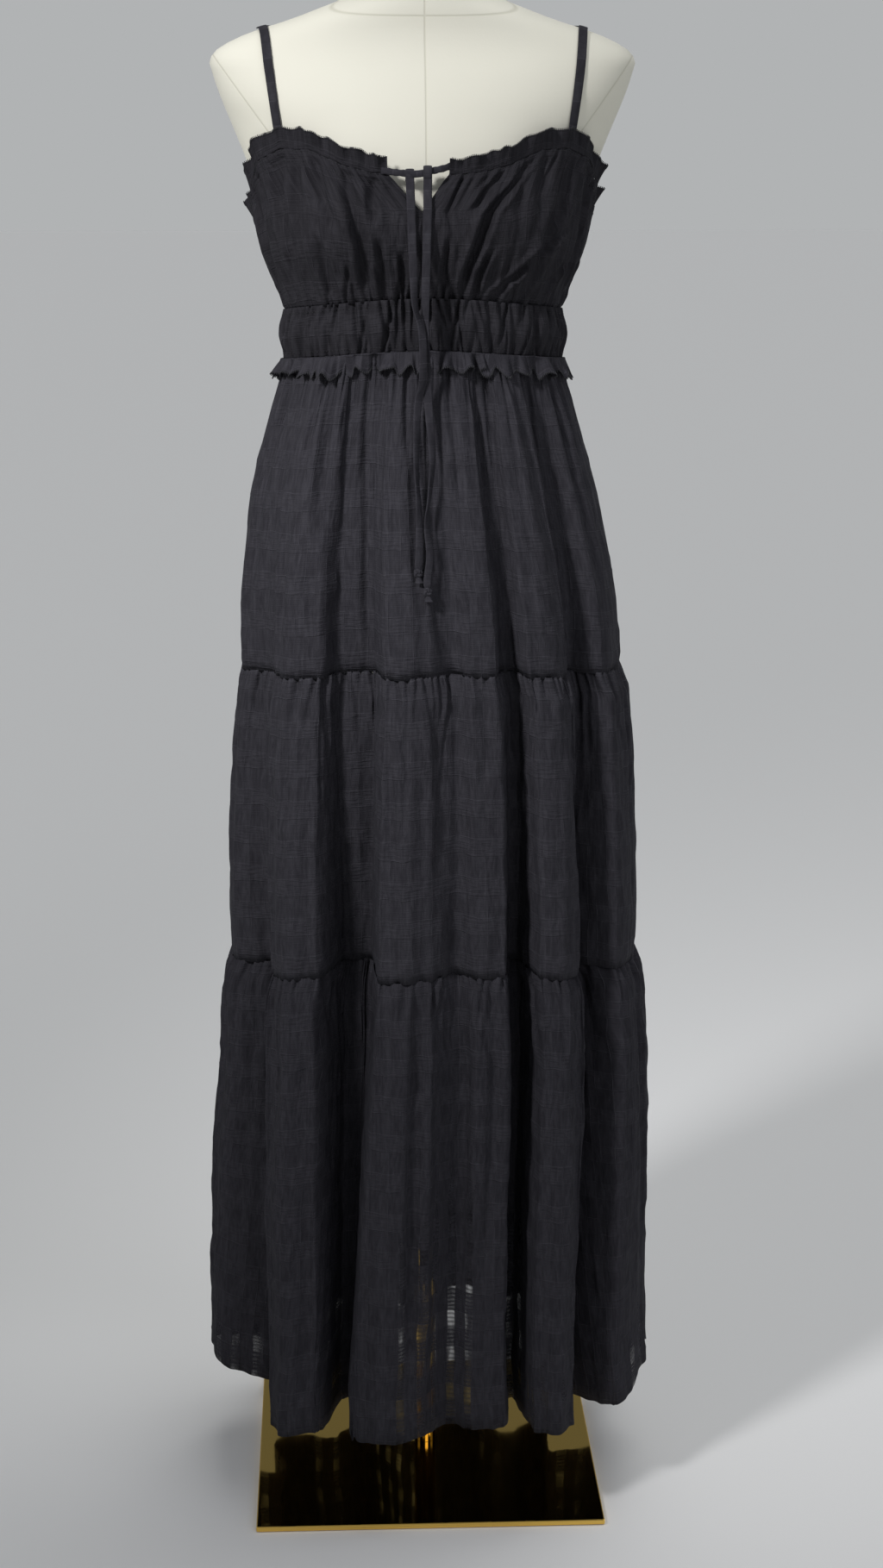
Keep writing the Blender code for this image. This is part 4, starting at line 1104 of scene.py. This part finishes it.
# main creases: route of (share of the way down, degrees), depth in mm, half width in degrees
bodiceCreases = {
    "Left": (
        (((0.00, -62), (0.30, -62), (0.60, -60), (1.00, -64)), 3.2, 2.6),
        (((0.02, -36), (0.30, -33), (0.55, -30), (0.97, -29)), 3.4, 2.4),
        (((0.00, -55), (0.45, -55), (0.85, -56), (1.00, -52)), 2.6, 2.2),
        (((0.00, -48), (0.25, -45), (0.50, -40)), 1.8, 2.4),
        (((0.55, -48), (0.80, -46), (1.00, -43)), 2.6, 2.0),
        (((0.50, -23), (0.75, -21), (1.00, -20)), 2.4, 1.8),
        (((0.10, -76), (0.50, -74), (1.00, -77)), 2.4, 2.4),
        (((0.00, -24), (0.20, -25), (0.42, -24)), 1.6, 2.0),
        (((0.60, -12), (0.80, -11), (1.00, -12)), 2.0, 1.6),
    ),
    "Right": (
        (((0.02, 46), (0.15, 38), (0.32, 28), (0.75, 20), (1.00, 18)), 3.4, 2.2),
        (((0.00, 36), (0.12, 29), (0.30, 21)), 2.2, 2.0),
        (((0.50, 60), (0.70, 48), (0.90, 36), (1.00, 33)), 3.0, 2.0),
        (((0.00, 62), (0.35, 58), (0.72, 50), (1.00, 45)), 2.6, 2.4),
        (((0.00, 71), (0.50, 72), (0.92, 68)), 2.2, 2.2),
        (((0.50, 10), (0.75, 9), (1.00, 9)), 2.0, 1.6),
        (((0.60, 29), (0.80, 25), (1.00, 24)), 2.4, 1.7),
        (((0.55, 80), (0.80, 79), (1.00, 80)), 2.0, 2.0),
        (((0.70, 66), (0.85, 60), (1.00, 57)), 2.2, 1.8),
    ),
    "Back": (
        (((0.00, 104), (0.50, 106), (1.00, 103)), 2.4, 2.6),
        (((0.00, 128), (0.40, 131), (0.80, 133)), 2.2, 2.4),
        (((0.45, 118), (0.75, 119), (1.00, 117)), 2.4, 2.0),
        (((0.00, 158), (0.30, 156), (0.60, 157)), 2.0, 2.2),
        (((0.35, 172), (0.70, 174), (1.00, 173)), 2.4, 2.2),
        (((0.00, 199), (0.45, 202), (0.85, 200)), 2.2, 2.4),
        (((0.50, 216), (0.75, 214), (1.00, 215)), 2.4, 2.0),
        (((0.00, 238), (0.40, 235), (0.75, 236)), 2.2, 2.2),
        (((0.10, 257), (0.55, 255), (1.00, 258)), 2.4, 2.6),
    ),
}


def fromFront(degrees):
    return np.abs((degrees + 180.0) % 360.0 - 180.0)


def bodiceEdges(name, share):
    # first and last angle of a bodice panel at a share of the way down
    if name == "Back":
        return np.full_like(share, 90.0), np.full_like(share, 270.0)
    corner = bodice["notchLeft"] if name == "Left" else bodice["notchRight"]
    top = readColumn(neckline, abs(corner), 1)
    height = mix(top, bandTop + liftAt(0.0, bandTop), share)
    open_ = np.clip((height - bodice["notchHeight"]) / (top - bodice["notchHeight"]), 0.0, 1.0)
    inner = mix(bodice["centreSeam"], corner, open_)
    return (np.full_like(share, -90.0), inner) if name == "Left" else (inner, np.full_like(share, 90.0))


def bodiceRow(degrees, share, offset):
    top = readColumn(neckline, fromFront(degrees), 1)
    bottom = bandTop + liftAt(degrees, bandTop)
    trueHeight = mix(top, bottom, share)
    height = trueHeight - liftAt(degrees, bandTop) * smooth(share)
    return layRow(lambda turn: bodyPlan(turn, height, trueHeight), degrees, offset, trueHeight)


def roomBelow(degrees, share):
    # how far the smooth cloth is from the form below it
    cloth = bodiceRow(degrees, share, 0.0)
    angle = np.radians(degrees)
    radius = sectionRadius(angle, *sectionAt(formSections, cloth[:, 2]))
    x, y = formPlan(angle, radius, cloth[:, 2])
    return np.hypot(cloth[:, 0] - x, cloth[:, 1] - y)


def bodiceFade(name, along, reach):
    # relief dies out at the side seams and goes on to the edges at the centre front
    if name == "Back":
        return sideFade(along, reach)
    return smooth((along if name == "Left" else along[-1] - along) / reach)


def makeBodicePanel(name, seed):
    panel = bodicePanels[name]
    shares = np.linspace(0.0, 1.0, bodice["rows"])
    across = np.linspace(0.0, 1.0, panel["columns"])
    starts, ends = bodiceEdges(name, shares)
    degrees = mix(starts[:, None], ends[:, None], across[None, :])
    along, down = across * panel["width"], shares * panel["depth"]
    relief = gatherField(along, down, bodice["topGathers"], seed)
    relief += footGathers(along, down, bodice["footGathers"], seed + 1)
    relief += bodice["creaseDepth"] * creaseField(degrees, shares, bodiceCreases[name])
    relief += crinkled(along, down, bodice["crinkles"], seed + 2)
    room = np.array([roomBelow(degrees[row], share) for row, share in enumerate(shares)])
    deepest = np.clip(bodice["roomShare"] * room - bodice["roomClearance"], 0.0, bodice["deepest"])
    relief = np.clip(relief, -deepest, bodice["highest"]) * bodiceFade(name, along, 0.007)
    # the casing for the drawstring is a flatter channel that swells a little along its middle
    casing = down / bodice["casing"]
    relief *= (0.35 + 0.65 * smooth((casing - 0.4) / 0.6))[:, None]
    relief += bodice["casingSwell"] * np.exp(-(((down - 0.45 * bodice["casing"]) / 0.0035) ** 2))[:, None]
    relief -= bodice["footTuck"] * smooth((shares - 0.97) / 0.03)[:, None]
    points = np.array([bodiceRow(degrees[row], share, relief[row]) for row, share in enumerate(shares)])
    points[-1, :, 2] -= bodice["footTuck"]
    flat = (round(panel["width"] * bodice["fullness"], 3), round(panel["depth"] + bodice["allowance"], 3))
    place = (gatheredShadedMaterial, panel["node"], flat, ["form_torso"], bodice["shift"])
    makePanel("bodice" + name, points, along, down, *place)


def makeRuffle(name, seed):
    panel = bodicePanels[name]
    across = np.linspace(0.0, 1.0, panel["columns"])
    starts, ends = bodiceEdges(name, np.zeros(1))
    degrees = mix(starts[0], ends[0], across)
    along = across * panel["width"]
    shares = np.linspace(1.0, 0.0, ruffle["rows"])
    length = ruffle["waveLength"]
    wave = waveField(along, length, seed)
    small = ruffle["smallWave"] * waveField(along, length * ruffle["smallLength"], seed + 1)
    jag = waveField(along, length * ruffle["jagLength"], seed + 2)
    casing = readColumn(neckline, fromFront(degrees), 1)
    edge = readColumn(neckline, fromFront(degrees), 2)
    armhole = 1.0 - smooth((np.abs(fromFront(degrees) - 88.0) - 12.0) / 12.0)
    size = mix(ruffle["neckWave"], ruffle["armholeWave"], armhole)
    jag *= ruffle["neckJag"] + ruffle["armholeJag"] * armhole
    fade = bodiceFade(name, along, 0.004)
    points = np.zeros((len(shares), len(along), 3))
    for row, share in enumerate(shares):
        full = share**1.2
        offset = ruffle["lean"] * share + size * (wave + small) * full * fade
        points[row] = bodiceRow(degrees, 0.0, offset)
        points[row, :, 2] = mix(casing - ruffle["overlap"], edge, share) + jag * full
    flat = (round(panel["width"] * ruffle["fullness"], 3), ruffle["flatDepth"])
    down = (1.0 - shares) * ruffle["depth"]
    node = f"neck_ruffle_{name.lower()}"
    makePanel("neckRuffle" + name, points, along, down, gatheredShadedMaterial, node, flat, [panel["node"]])


for name, seed in (("Left", 201), ("Right", 221), ("Back", 241)):
    makeBodicePanel(name, seed)
    makeRuffle(name, seed + 10)
print("bodice made")


# Straps, drawstring and ties: flat tapes of the same cloth
def tapeShape(path, widths, turns, thickness, facing):
    # turns is the tape's twist in degrees at each point, and facing the way its flat side looks before that
    sides = 12
    shape = [(math.cos(2 * math.pi * k / sides), math.sin(2 * math.pi * k / sides)) for k in range(sides)]
    shape = [(math.copysign(abs(c) ** 0.55, c), math.copysign(abs(s) ** 0.8, s)) for c, s in shape]
    points, uvs, travelled = [], [], 0.0
    for index, point in enumerate(path):
        ahead = path[min(index + 1, len(path) - 1)] - path[max(index - 1, 0)]
        ahead.normalize()
        outward = Vector(facing[index] if isinstance(facing, list) else facing)
        outward = (outward - ahead * outward.dot(ahead)).normalized()
        sideways = ahead.cross(outward)
        turn = math.radians(turns[index])
        wide = sideways * math.cos(turn) + outward * math.sin(turn)
        thick = outward * math.cos(turn) - sideways * math.sin(turn)
        if index:
            travelled += (point - path[index - 1]).length
        for k, (c, s) in enumerate(shape):
            points.append(point + wide * (c * widths[index] / 2) + thick * (s * thickness / 2))
            uvs.append((k / sides * 2 * widths[index], travelled))
    faces = gridFaces(len(path), sides, closed=True)
    faces.append(tuple(range(sides)))
    faces.append(tuple((len(path) - 1) * sides + index for index in reversed(range(sides))))
    return points, faces, uvs


def makeTape(name, node, *tapes):
    # one piece of one or more tapes, each with what tapeShape asks for
    points, faces, uvs = [], [], []
    for tape in tapes:
        first = len(points)
        tapePoints, tapeFaces, tapeUvs = tapeShape(*tape)
        points += tapePoints
        faces += [tuple(first + corner for corner in face) for face in tapeFaces]
        uvs += tapeUvs
    return newPiece(name, points, faces, tapeMaterial, [node], uvs)


strap = {
    "width": 0.0085,
    "flatWidth": 0.012,
    "thickness": 0.0013,
    "clearance": 0.0019,
    "centreHeight": 1.380,
    "steps": 110,
    "footLift": 0.0018,
    "footShare": 0.12,
    "slopeShare": 0.8,
}
# angle round the centre height from the front upwards, and distance aside
strapRoute = ((-31.0, 0.1315), (30.0, 0.1420), (90.0, 0.1500), (160.0, 0.1330), (234.0, 0.1080))


def insideForm(x, y, height):
    halfWidth, front, back, squareness = sectionAt(formSections, height)
    if height > formSections[-1][0] or abs(x) >= halfWidth:
        return False
    depth = front if y < 0 else back
    swell = bustAt(x, height, False) if y < 0 else 0.0
    reach = max(0.0, abs(y) - swell)
    return (abs(x) / halfWidth) ** squareness + (reach / depth) ** squareness < 1.0


def formReach(x, ray):
    # how far the form reaches from the strap's centre along the ray
    low, high = 0.0, 0.25
    for _ in range(18):
        middle = (low + high) / 2
        if insideForm(x, -middle * math.cos(ray), strap["centreHeight"] + middle * math.sin(ray)):
            low = middle
        else:
            high = middle
    return low


def makeStrap(name, side, node):
    path, facing = [], []
    for step in range(strap["steps"] + 1):
        ray = mix(strapRoute[0][0], strapRoute[-1][0], step / strap["steps"])
        x = float(readColumn(strapRoute, ray, 1))
        ray = math.radians(ray)
        fromEnd = min(step, strap["steps"] - step) / strap["steps"]
        lift = strap["footLift"] * float(1.0 - smooth(fromEnd / strap["footShare"]))
        reach = formReach(x, ray) + strap["clearance"] + lift
        path.append(Vector((side * x, -reach * math.cos(ray), strap["centreHeight"] + reach * math.sin(ray))))
        # the tape lies on the shoulder's slope
        outer, point = x, path[-1]
        inner = outer * 0.97
        ray = math.atan2(point.z - strap["centreHeight"], -point.y)
        tilt = (formReach(outer, ray) - formReach(inner, ray)) / (outer - inner)
        slope = -side * tilt * strap["slopeShare"]
        facing.append(Vector((slope, -math.cos(ray), math.sin(ray))).normalized())
    count = len(path)
    tape = (path, [strap["width"]] * count, [0.0] * count, strap["thickness"], facing)
    piece = makeTape(name, node, tape)


makeStrap("strapLeft", -1, "strap_left")
makeStrap("strapRight", 1, "strap_right")

ties = {
    "aside": -0.0120,
    "width": 0.0078,
    "thickness": 0.0018,
    "step": 0.003,
    # below this height the tape hangs just in front of the first tier
    "hangsBelow": 1.150,
    "hangsWithin": 0.030,
    "clearance": 0.0055,
    "pulledIn": 0.012,
    # the knot at each tip and the tail below it
    "tipRadius": 0.0016,
    "tipSize": 0.0021,
    "tipDrop": 0.002,
    "tailLength": 0.007,
    "tailHalfWidth": (0.0018, 0.0040),
    "tailHalfThickness": 0.0009,
    "tailLean": 0.0012,
}
tieLeftRoute = (
    (-0.0035, -0.1168, 1.3177),
    (-0.0032, -0.1240, 1.3050),
    (-0.0028, -0.1290, 1.2900),
    (-0.0023, -0.1292, 1.2750),
    (-0.0018, -0.1288, 1.2600),
    (-0.0008, -0.1280, 1.2300),
    (0.0005, -0.1275, 1.2050),
    (0.0062, -0.1270, 1.1850),
    (0.0080, -0.1265, 1.1600),
    (0.0070, -0.1260, 1.1350),
    (0.0032, -0.1255, 1.1150),
    (0.0016, -0.1253, 1.0900),
    (0.0014, -0.1262, 1.0550),
    (0.0034, -0.1290, 1.0200),
    (0.0034, -0.1344, 0.9850),
    (0.0008, -0.1386, 0.9550),
)
tieRightRoute = (
    (0.0125, -0.1168, 1.3177),
    (0.0122, -0.1240, 1.3050),
    (0.0120, -0.1295, 1.2900),
    (0.0116, -0.1296, 1.2750),
    (0.0112, -0.1290, 1.2600),
    (0.0104, -0.1266, 1.2300),
    (0.0100, -0.1232, 1.2050),
    (0.0104, -0.1205, 1.1850),
    (0.0110, -0.1200, 1.1600),
    (0.0120, -0.1200, 1.1350),
    (0.0136, -0.1212, 1.1050),
    (0.0162, -0.1238, 1.0700),
    (0.0140, -0.1256, 1.0400),
    (0.0104, -0.1298, 1.0100),
    (0.0130, -0.1342, 0.9800),
    (0.0106, -0.1374, 0.9550),
    (0.0128, -0.1398, 0.9280),
)
# share of the way down and the tape's twist in degrees
tieLeftTwist = ((0.0, 0), (0.22, 4), (0.34, 55), (0.42, 20), (0.60, 28), (0.78, 62), (0.90, 30), (1.0, 15))
tieRightTwist = (
    (0.0, 0),
    (0.25, -5),
    (0.36, -50),
    (0.50, -15),
    (0.64, 30),
    (0.80, 70),
    (0.92, 25),
    (1.0, 10),
)


def makeTip(name, at):
    # a small overhand knot with a short flared tail
    around, sides, rows = 56, 8, 5
    route = []
    for step in range(around):
        t = 2 * math.pi * step / around
        ring = 2.0 + math.cos(3 * t)
        bend = Vector((ring * math.cos(2 * t), 0.8 * math.sin(3 * t), ring * math.sin(2 * t)))
        route.append(bend * (ties["tipSize"] / 2))
    turns = [2 * math.pi * k / sides for k in range(sides)]
    points, first = [], None
    for step in range(around):
        ahead = (route[(step + 1) % around] - route[step - 1]).normalized()
        first = first - ahead * first.dot(ahead) if first else ahead.orthogonal()
        first = first.normalized()
        second = ahead.cross(first)
        for turn in turns:
            ring = first * math.cos(turn) + second * math.sin(turn)
            points.append(at + route[step] + ring * ties["tipRadius"])
    faces = [tuple(reversed(face)) for face in gridFaces(around, sides, closed=True)]
    last, start = (around - 1) * sides, len(points)
    for k in range(sides):
        after = (k + 1) % sides
        faces.append((last + k, last + after, after, k))
    for row in range(rows):
        share = row / (rows - 1)
        for turn in turns:
            x = mix(*ties["tailHalfWidth"], share) * math.cos(turn) + ties["tailLean"] * share
            y = ties["tailHalfThickness"] * math.sin(turn) * (1 + share)
            points.append(at + Vector((x, y, -ties["tipDrop"] - ties["tailLength"] * share)))
    faces += [tuple(start + corner for corner in face) for face in gridFaces(rows, sides, closed=True)]
    faces.append(tuple(start + k for k in range(sides))[::-1])
    faces.append(tuple(start + (rows - 1) * sides + k for k in range(sides)))
    uvs = [(point.x, point.z) for point in points]
    return newPiece(name, points, faces, tapeMaterial, (), uvs)


def tapePath(route, step):
    return [point + Vector((ties["aside"], 0.0, 0.0)) for point in smoothRoute(route, step)]


def skirtFront(x, height):
    degrees = np.linspace(-40.0, 40.0, 161)
    level = height - float(liftAt(0.0, height))
    plan = skirtPlan(degrees, level)
    return float(np.interp(x, plan[0], plan[1]))


def makeTie(name, route, twist, node, end):
    path = [point for point in tapePath(route, ties["step"]) if point.z > end]
    fronts = []
    for point in path:
        height = min(point.z, ties["hangsBelow"] + 0.005)
        nearest = min(skirtFront(point.x + side, height) for side in (-0.006, 0.0, 0.006))
        hung = min(nearest - ties["clearance"], point.y + ties["pulledIn"])
        share = float(smooth((ties["hangsBelow"] - point.z) / ties["hangsWithin"]))
        fronts.append(mix(point.y, hung, share))
    for index, point in enumerate(path):
        point.y = float(np.mean(fronts[max(0, index - 4) : index + 5]))
    shares = np.linspace(0.0, 1.0, len(path))
    # the tape narrows into the knot at its tip
    widths = ties["width"] * (1.0 - 0.45 * smooth((shares - 0.985) / 0.015))
    tape = (path, widths, readColumn(twist, shares, 1), ties["thickness"], Vector((0.0, -1.0, 0.0)))
    piece = makeTape(name, node, tape)
    tip = makeTip(name + "Tip", path[-1] + Vector((0.0, 0.0, -ties["tipDrop"])))


makeTie("tieLeft", tieLeftRoute, tieLeftTwist, "tie_left", 0.9665)
makeTie("tieRight", tieRightRoute, tieRightTwist, "tie_right", 0.9480)

drawstring = {"width": 0.0066, "flatWidth": 0.011, "thickness": 0.0034, "step": 0.002}
stringLeftRoute = (
    (-0.0290, -0.1140, 1.3246),
    (-0.0240, -0.1156, 1.3243),
    (-0.0160, -0.1163, 1.3232),
    (-0.0030, -0.1168, 1.3222),
)
stringRightRoute = (
    (0.0340, -0.1140, 1.3290),
    (0.0299, -0.1156, 1.3277),
    (0.0235, -0.1163, 1.3260),
    (0.0090, -0.1168, 1.3232),
)


def makeString(name, route, node):
    path = tapePath(route, drawstring["step"])
    widths = [drawstring["width"] * (0.92 + 0.08 * math.sin(1.9 * index)) for index in range(len(path))]
    turns = [12.0 * math.sin(0.5 * index) for index in range(len(path))]
    piece = makeTape(name, node, (path, widths, turns, drawstring["thickness"], Vector((0.0, -1.0, 0.0))))


knot = {
    "acrossWidth": 0.0064,
    "acrossThickness": 0.0036,
    "loopThickness": 0.0017,
    "loopStep": 0.0015,
    # each loop: place across, top and front
    "loops": ((-0.0035, 1.3262, -0.1186), (0.0125, 1.3290, -0.1206)),
}
knotRoute = (
    (-0.0080, -0.1172, 1.3224),
    (0.0000, -0.1180, 1.3219),
    (0.0070, -0.1180, 1.3224),
    (0.0160, -0.1172, 1.3240),
)


def makeKnot():
    # the half knot: one stretch across and two loops of tape over it, one for each tie
    path = tapePath(knotRoute, drawstring["step"])
    count = len(path)
    widths = [knot["acrossWidth"]] * count
    tapes = [(path, widths, [0.0] * count, knot["acrossThickness"], Vector((0.0, -1.0, 0.0)))]
    for x, top, front in knot["loops"]:
        bend = (
            (x, front + 0.0070, top - 0.0110),
            (x, front + 0.0068, top - 0.0040),
            (x, front + 0.0046, top - 0.0004),
            (x, front + 0.0012, top - 0.0012),
            (x, front, top - 0.0050),
            (x, front + 0.0006, top - 0.0100),
            (x, -0.1170, 1.3160),
        )
        path = tapePath(bend, knot["loopStep"])
        count = len(path)
        facing = []
        for index in range(count):
            ahead = path[min(index + 1, count - 1)] - path[max(index - 1, 0)]
            facing.append(Vector((1.0, 0.0, 0.0)).cross(ahead).normalized())
        tapes.append((path, [ties["width"]] * count, [0.0] * count, knot["loopThickness"], facing))
    makeTape("halfKnot", "tie_knot", *tapes)


makeString("drawstringLeft", stringLeftRoute, "drawstring_left")
makeString("drawstringRight", stringRightRoute, "drawstring_right")
makeKnot()
print("straps, drawstring and ties made")

# Stitches: one Geometry Nodes tree lays short threads along a path, each along the direction stored on it
stitch = {"Pitch": 0.0030, "Length": 0.0022, "Thickness": 0.00045, "Seed": 3}


def makeStitchTree():
    tree = bpy.data.node_groups.new("stitchRow", "GeometryNodeTree")
    tree.interface.new_socket(name="Path", in_out="INPUT", socket_type="NodeSocketGeometry")
    for name, value in stitch.items():
        kind = "NodeSocketInt" if name == "Seed" else "NodeSocketFloat"
        socket = tree.interface.new_socket(name=name, in_out="INPUT", socket_type=kind)
        socket.default_value = value
    tree.interface.new_socket(name="Thread", in_out="INPUT", socket_type="NodeSocketMaterial")
    tree.interface.new_socket(name="Stitches", in_out="OUTPUT", socket_type="NodeSocketGeometry")
    given = addNode(tree, "NodeGroupInput").outputs
    line = addNode(tree, "GeometryNodeMeshToCurve", {0: given["Path"]})
    pitch = {"Curve": line, "Length": given["Pitch"]}
    spaced = addNode(tree, "GeometryNodeResampleCurve", pitch, mode="LENGTH")
    lie = addNode(tree, "GeometryNodeInputNamedAttribute", {"Name": "lie"}, data_type="FLOAT_VECTOR")
    along = {"Vector": lie.outputs["Attribute"]}
    turned = addNode(tree, "FunctionNodeAlignRotationToVector", along, axis="Z")
    half = addNode(tree, "ShaderNodeMath", {0: given["Thickness"], 1: 0.5}, operation="MULTIPLY")
    sizes = {"Vertices": 5, "Radius": half, "Depth": given["Length"]}
    thread = addNode(tree, "GeometryNodeMeshCylinder", sizes, fill_type="NGON")
    limits = {2: 0.85, 3: 1.1, "Seed": given["Seed"]}
    uneven = addNode(tree, "FunctionNodeRandomValue", limits, data_type="FLOAT")
    places = {"Points": spaced, "Instance": thread, "Rotation": turned, "Scale": uneven.outputs[1]}
    laid = addNode(tree, "GeometryNodeInstanceOnPoints", places)
    real = addNode(tree, "GeometryNodeRealizeInstances", {0: laid})
    painted = addNode(tree, "GeometryNodeSetMaterial", {"Geometry": real, "Material": given["Thread"]})
    addNode(tree, "NodeGroupOutput", {0: painted})
    return tree


stitchTree = makeStitchTree()


def layStitches(name, lines, **sizes):
    # lines: lists of (point, direction in which a thread lies)
    points, edges, lies = [], [], []
    for line in lines:
        first = len(points)
        points += [tuple(point) for point, _ in line]
        lies += [tuple(direction) for _, direction in line]
        edges += [(first + index, first + index + 1) for index in range(len(line) - 1)]
    mesh = bpy.data.meshes.new(name)
    mesh.from_pydata(points, edges, [])
    layer = mesh.attributes.new("lie", "FLOAT_VECTOR", "POINT")
    layer.data.foreach_set("vector", np.array(lies, dtype=np.float32).ravel())
    guide = bpy.data.objects.new(name + "Guide", mesh)
    bpy.context.scene.collection.objects.link(guide)
    rows = guide.modifiers.new("stitches", "NODES")
    rows.node_group = stitchTree
    items = stitchTree.interface.items_tree
    sockets = {item.name: item.identifier for item in items if item.in_out == "INPUT"}
    for key, value in {**stitch, **sizes}.items():
        rows[sockets[key]] = value
    rows[sockets["Thread"]] = threadMaterial
    evaluated = guide.evaluated_get(bpy.context.evaluated_depsgraph_get())
    made = bpy.data.meshes.new_from_object(evaluated)
    made.name = name
    bpy.data.objects.remove(guide)
    made.shade_smooth()
    piece = bpy.data.objects.new(name, made)
    bpy.context.scene.collection.objects.link(piece)
    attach(piece, "root")


def panelLine(name, row, outward, across=False):
    # a row of a panel moved out from the cloth, with the thread along it or across it
    points = panels[name]
    line = points[row]
    ahead = np.gradient(line, axis=0)
    ahead /= np.linalg.norm(ahead, axis=1)[:, None]
    rise = points[row - 1] - line if row else line - points[row + 1]
    rise /= np.linalg.norm(rise, axis=1)[:, None]
    moved = line + np.cross(ahead, rise) * outward
    lie = rise if across else ahead
    trim = 3  # points left bare at each end
    return [(moved[k], lie[k]) for k in range(trim, len(line) - trim)]


aboveCloth = 0.0002
seamLines = [panelLine("tierThree" + side, -2, aboveCloth) for side in panelSpans]
seamLines += [panelLine("waistband" + side, row, aboveCloth) for side in panelSpans for row in (2, -3)]
seamLines += [panelLine("bodice" + name, row, aboveCloth) for name in bodicePanels for row in (1, 6)]
layStitches("seamStitches", seamLines, Pitch=0.0032, Length=0.0024)
edgeLines = [panelLine("waistFrill" + side, -1, 0.0, True) for side in panelSpans]
edgeLines += [panelLine("neckRuffle" + name, 0, 0.0, True) for name in bodicePanels]
layStitches("overlockStitches", edgeLines, Pitch=0.0017, Length=0.0026, Thickness=0.0009)
print("stitches laid")

# Stand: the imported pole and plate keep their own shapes
for node in ("stand_base", "stand_pole"):
    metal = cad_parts[node]
    metal.data.materials.clear()
    metal.data.materials.append(goldMaterial)

studio = {
    "floor": "#dededc",
    "floorSize": 60.0,
    # the air is as pale as the floor near the horizon and dimmer overhead
    "far": "#b1b3b4",
    "overhead": "#b9c0c8",
    "overheadStrength": 0.25,
    "keyPlace": (-1.25, -1.42, 2.35),
    "keyAim": (0.0, 0.0, 0.90),
    "keyStrength": 3.1,
    "keySize": 0.35,
    "keySpread": 43.0,
    "keyColour": "#fdfcff",
    # name, direction it comes from, strength, spread in degrees, colour
    "suns": (
        ("fillLight", (1.3, -1.8, 1.5), 0.62, 50.0, "#f6f6ff"),
        ("topLight", (0.4, 0.4, 1.8), 1.20, 40.0, "#ffffff"),
    ),
}


def addLamp(name, kind, source, power, colour, **settings):
    # source: the direction from what the lamp points at to the lamp
    data = bpy.data.lights.new(name, kind)
    data.energy = power
    data.color = linearColour(colour)[:3]
    for setting, value in settings.items():
        setattr(data, setting, value)
    lamp = bpy.data.objects.new(name, data)
    lamp.rotation_euler = Vector(source).to_track_quat("Z", "Y").to_euler()
    bpy.context.scene.collection.objects.link(lamp)
    return lamp


def makeStudio():
    material, tree, shader = newMaterial("palePaperFloor")
    place = addNode(tree, "ShaderNodeTexCoord").outputs["Object"]
    grain = addNode(tree, "ShaderNodeTexNoise", {"Vector": place, "Scale": 300.0})
    bump = addNode(tree, "ShaderNodeBump", {"Height": grain, "Strength": 0.03})
    setInputs(tree, shader, {"Base Color": linearColour(studio["floor"]), "Normal": bump, "Roughness": 0.9})
    bpy.ops.mesh.primitive_plane_add(size=studio["floorSize"], location=(0.0, 0.0, -0.0005))
    floor = bpy.context.object
    floor.name = "paleFloor"
    floor.data.materials.append(material)
    aim = Vector(studio["keyPlace"]) - Vector(studio["keyAim"])
    disk = {"shape": "DISK", "size": studio["keySize"], "spread": math.radians(studio["keySpread"])}
    key = addLamp("keyLight", "AREA", aim, studio["keyStrength"], studio["keyColour"], **disk)
    key.location = studio["keyPlace"]
    for name, source, power, spread, colour in studio["suns"]:
        addLamp(name, "SUN", source, power, colour, angle=math.radians(spread))
    world = bpy.data.worlds.new("studioAir")
    world.use_nodes = True
    tree = world.node_tree
    place = addNode(tree, "ShaderNodeTexCoord").outputs["Generated"]
    split = addNode(tree, "ShaderNodeSeparateXYZ", {0: place})
    limits = {0: split.outputs[2], 1: 0.05, 2: 0.40}
    rise = addNode(tree, "ShaderNodeMapRange", limits, interpolation_type="SMOOTHSTEP")
    high = [value * studio["overheadStrength"] for value in linearColour(studio["overhead"])[:3]] + [1.0]
    shades = {0: rise, 6: linearColour(studio["far"]), 7: high}
    air = addNode(tree, "ShaderNodeMix", shades, data_type="RGBA")
    setInputs(tree, tree.nodes["Background"], {"Color": air.outputs[2]})
    bpy.context.scene.world = world
    bpy.context.scene.view_settings.view_transform = "Standard"


makeStudio()
print("studio lit")
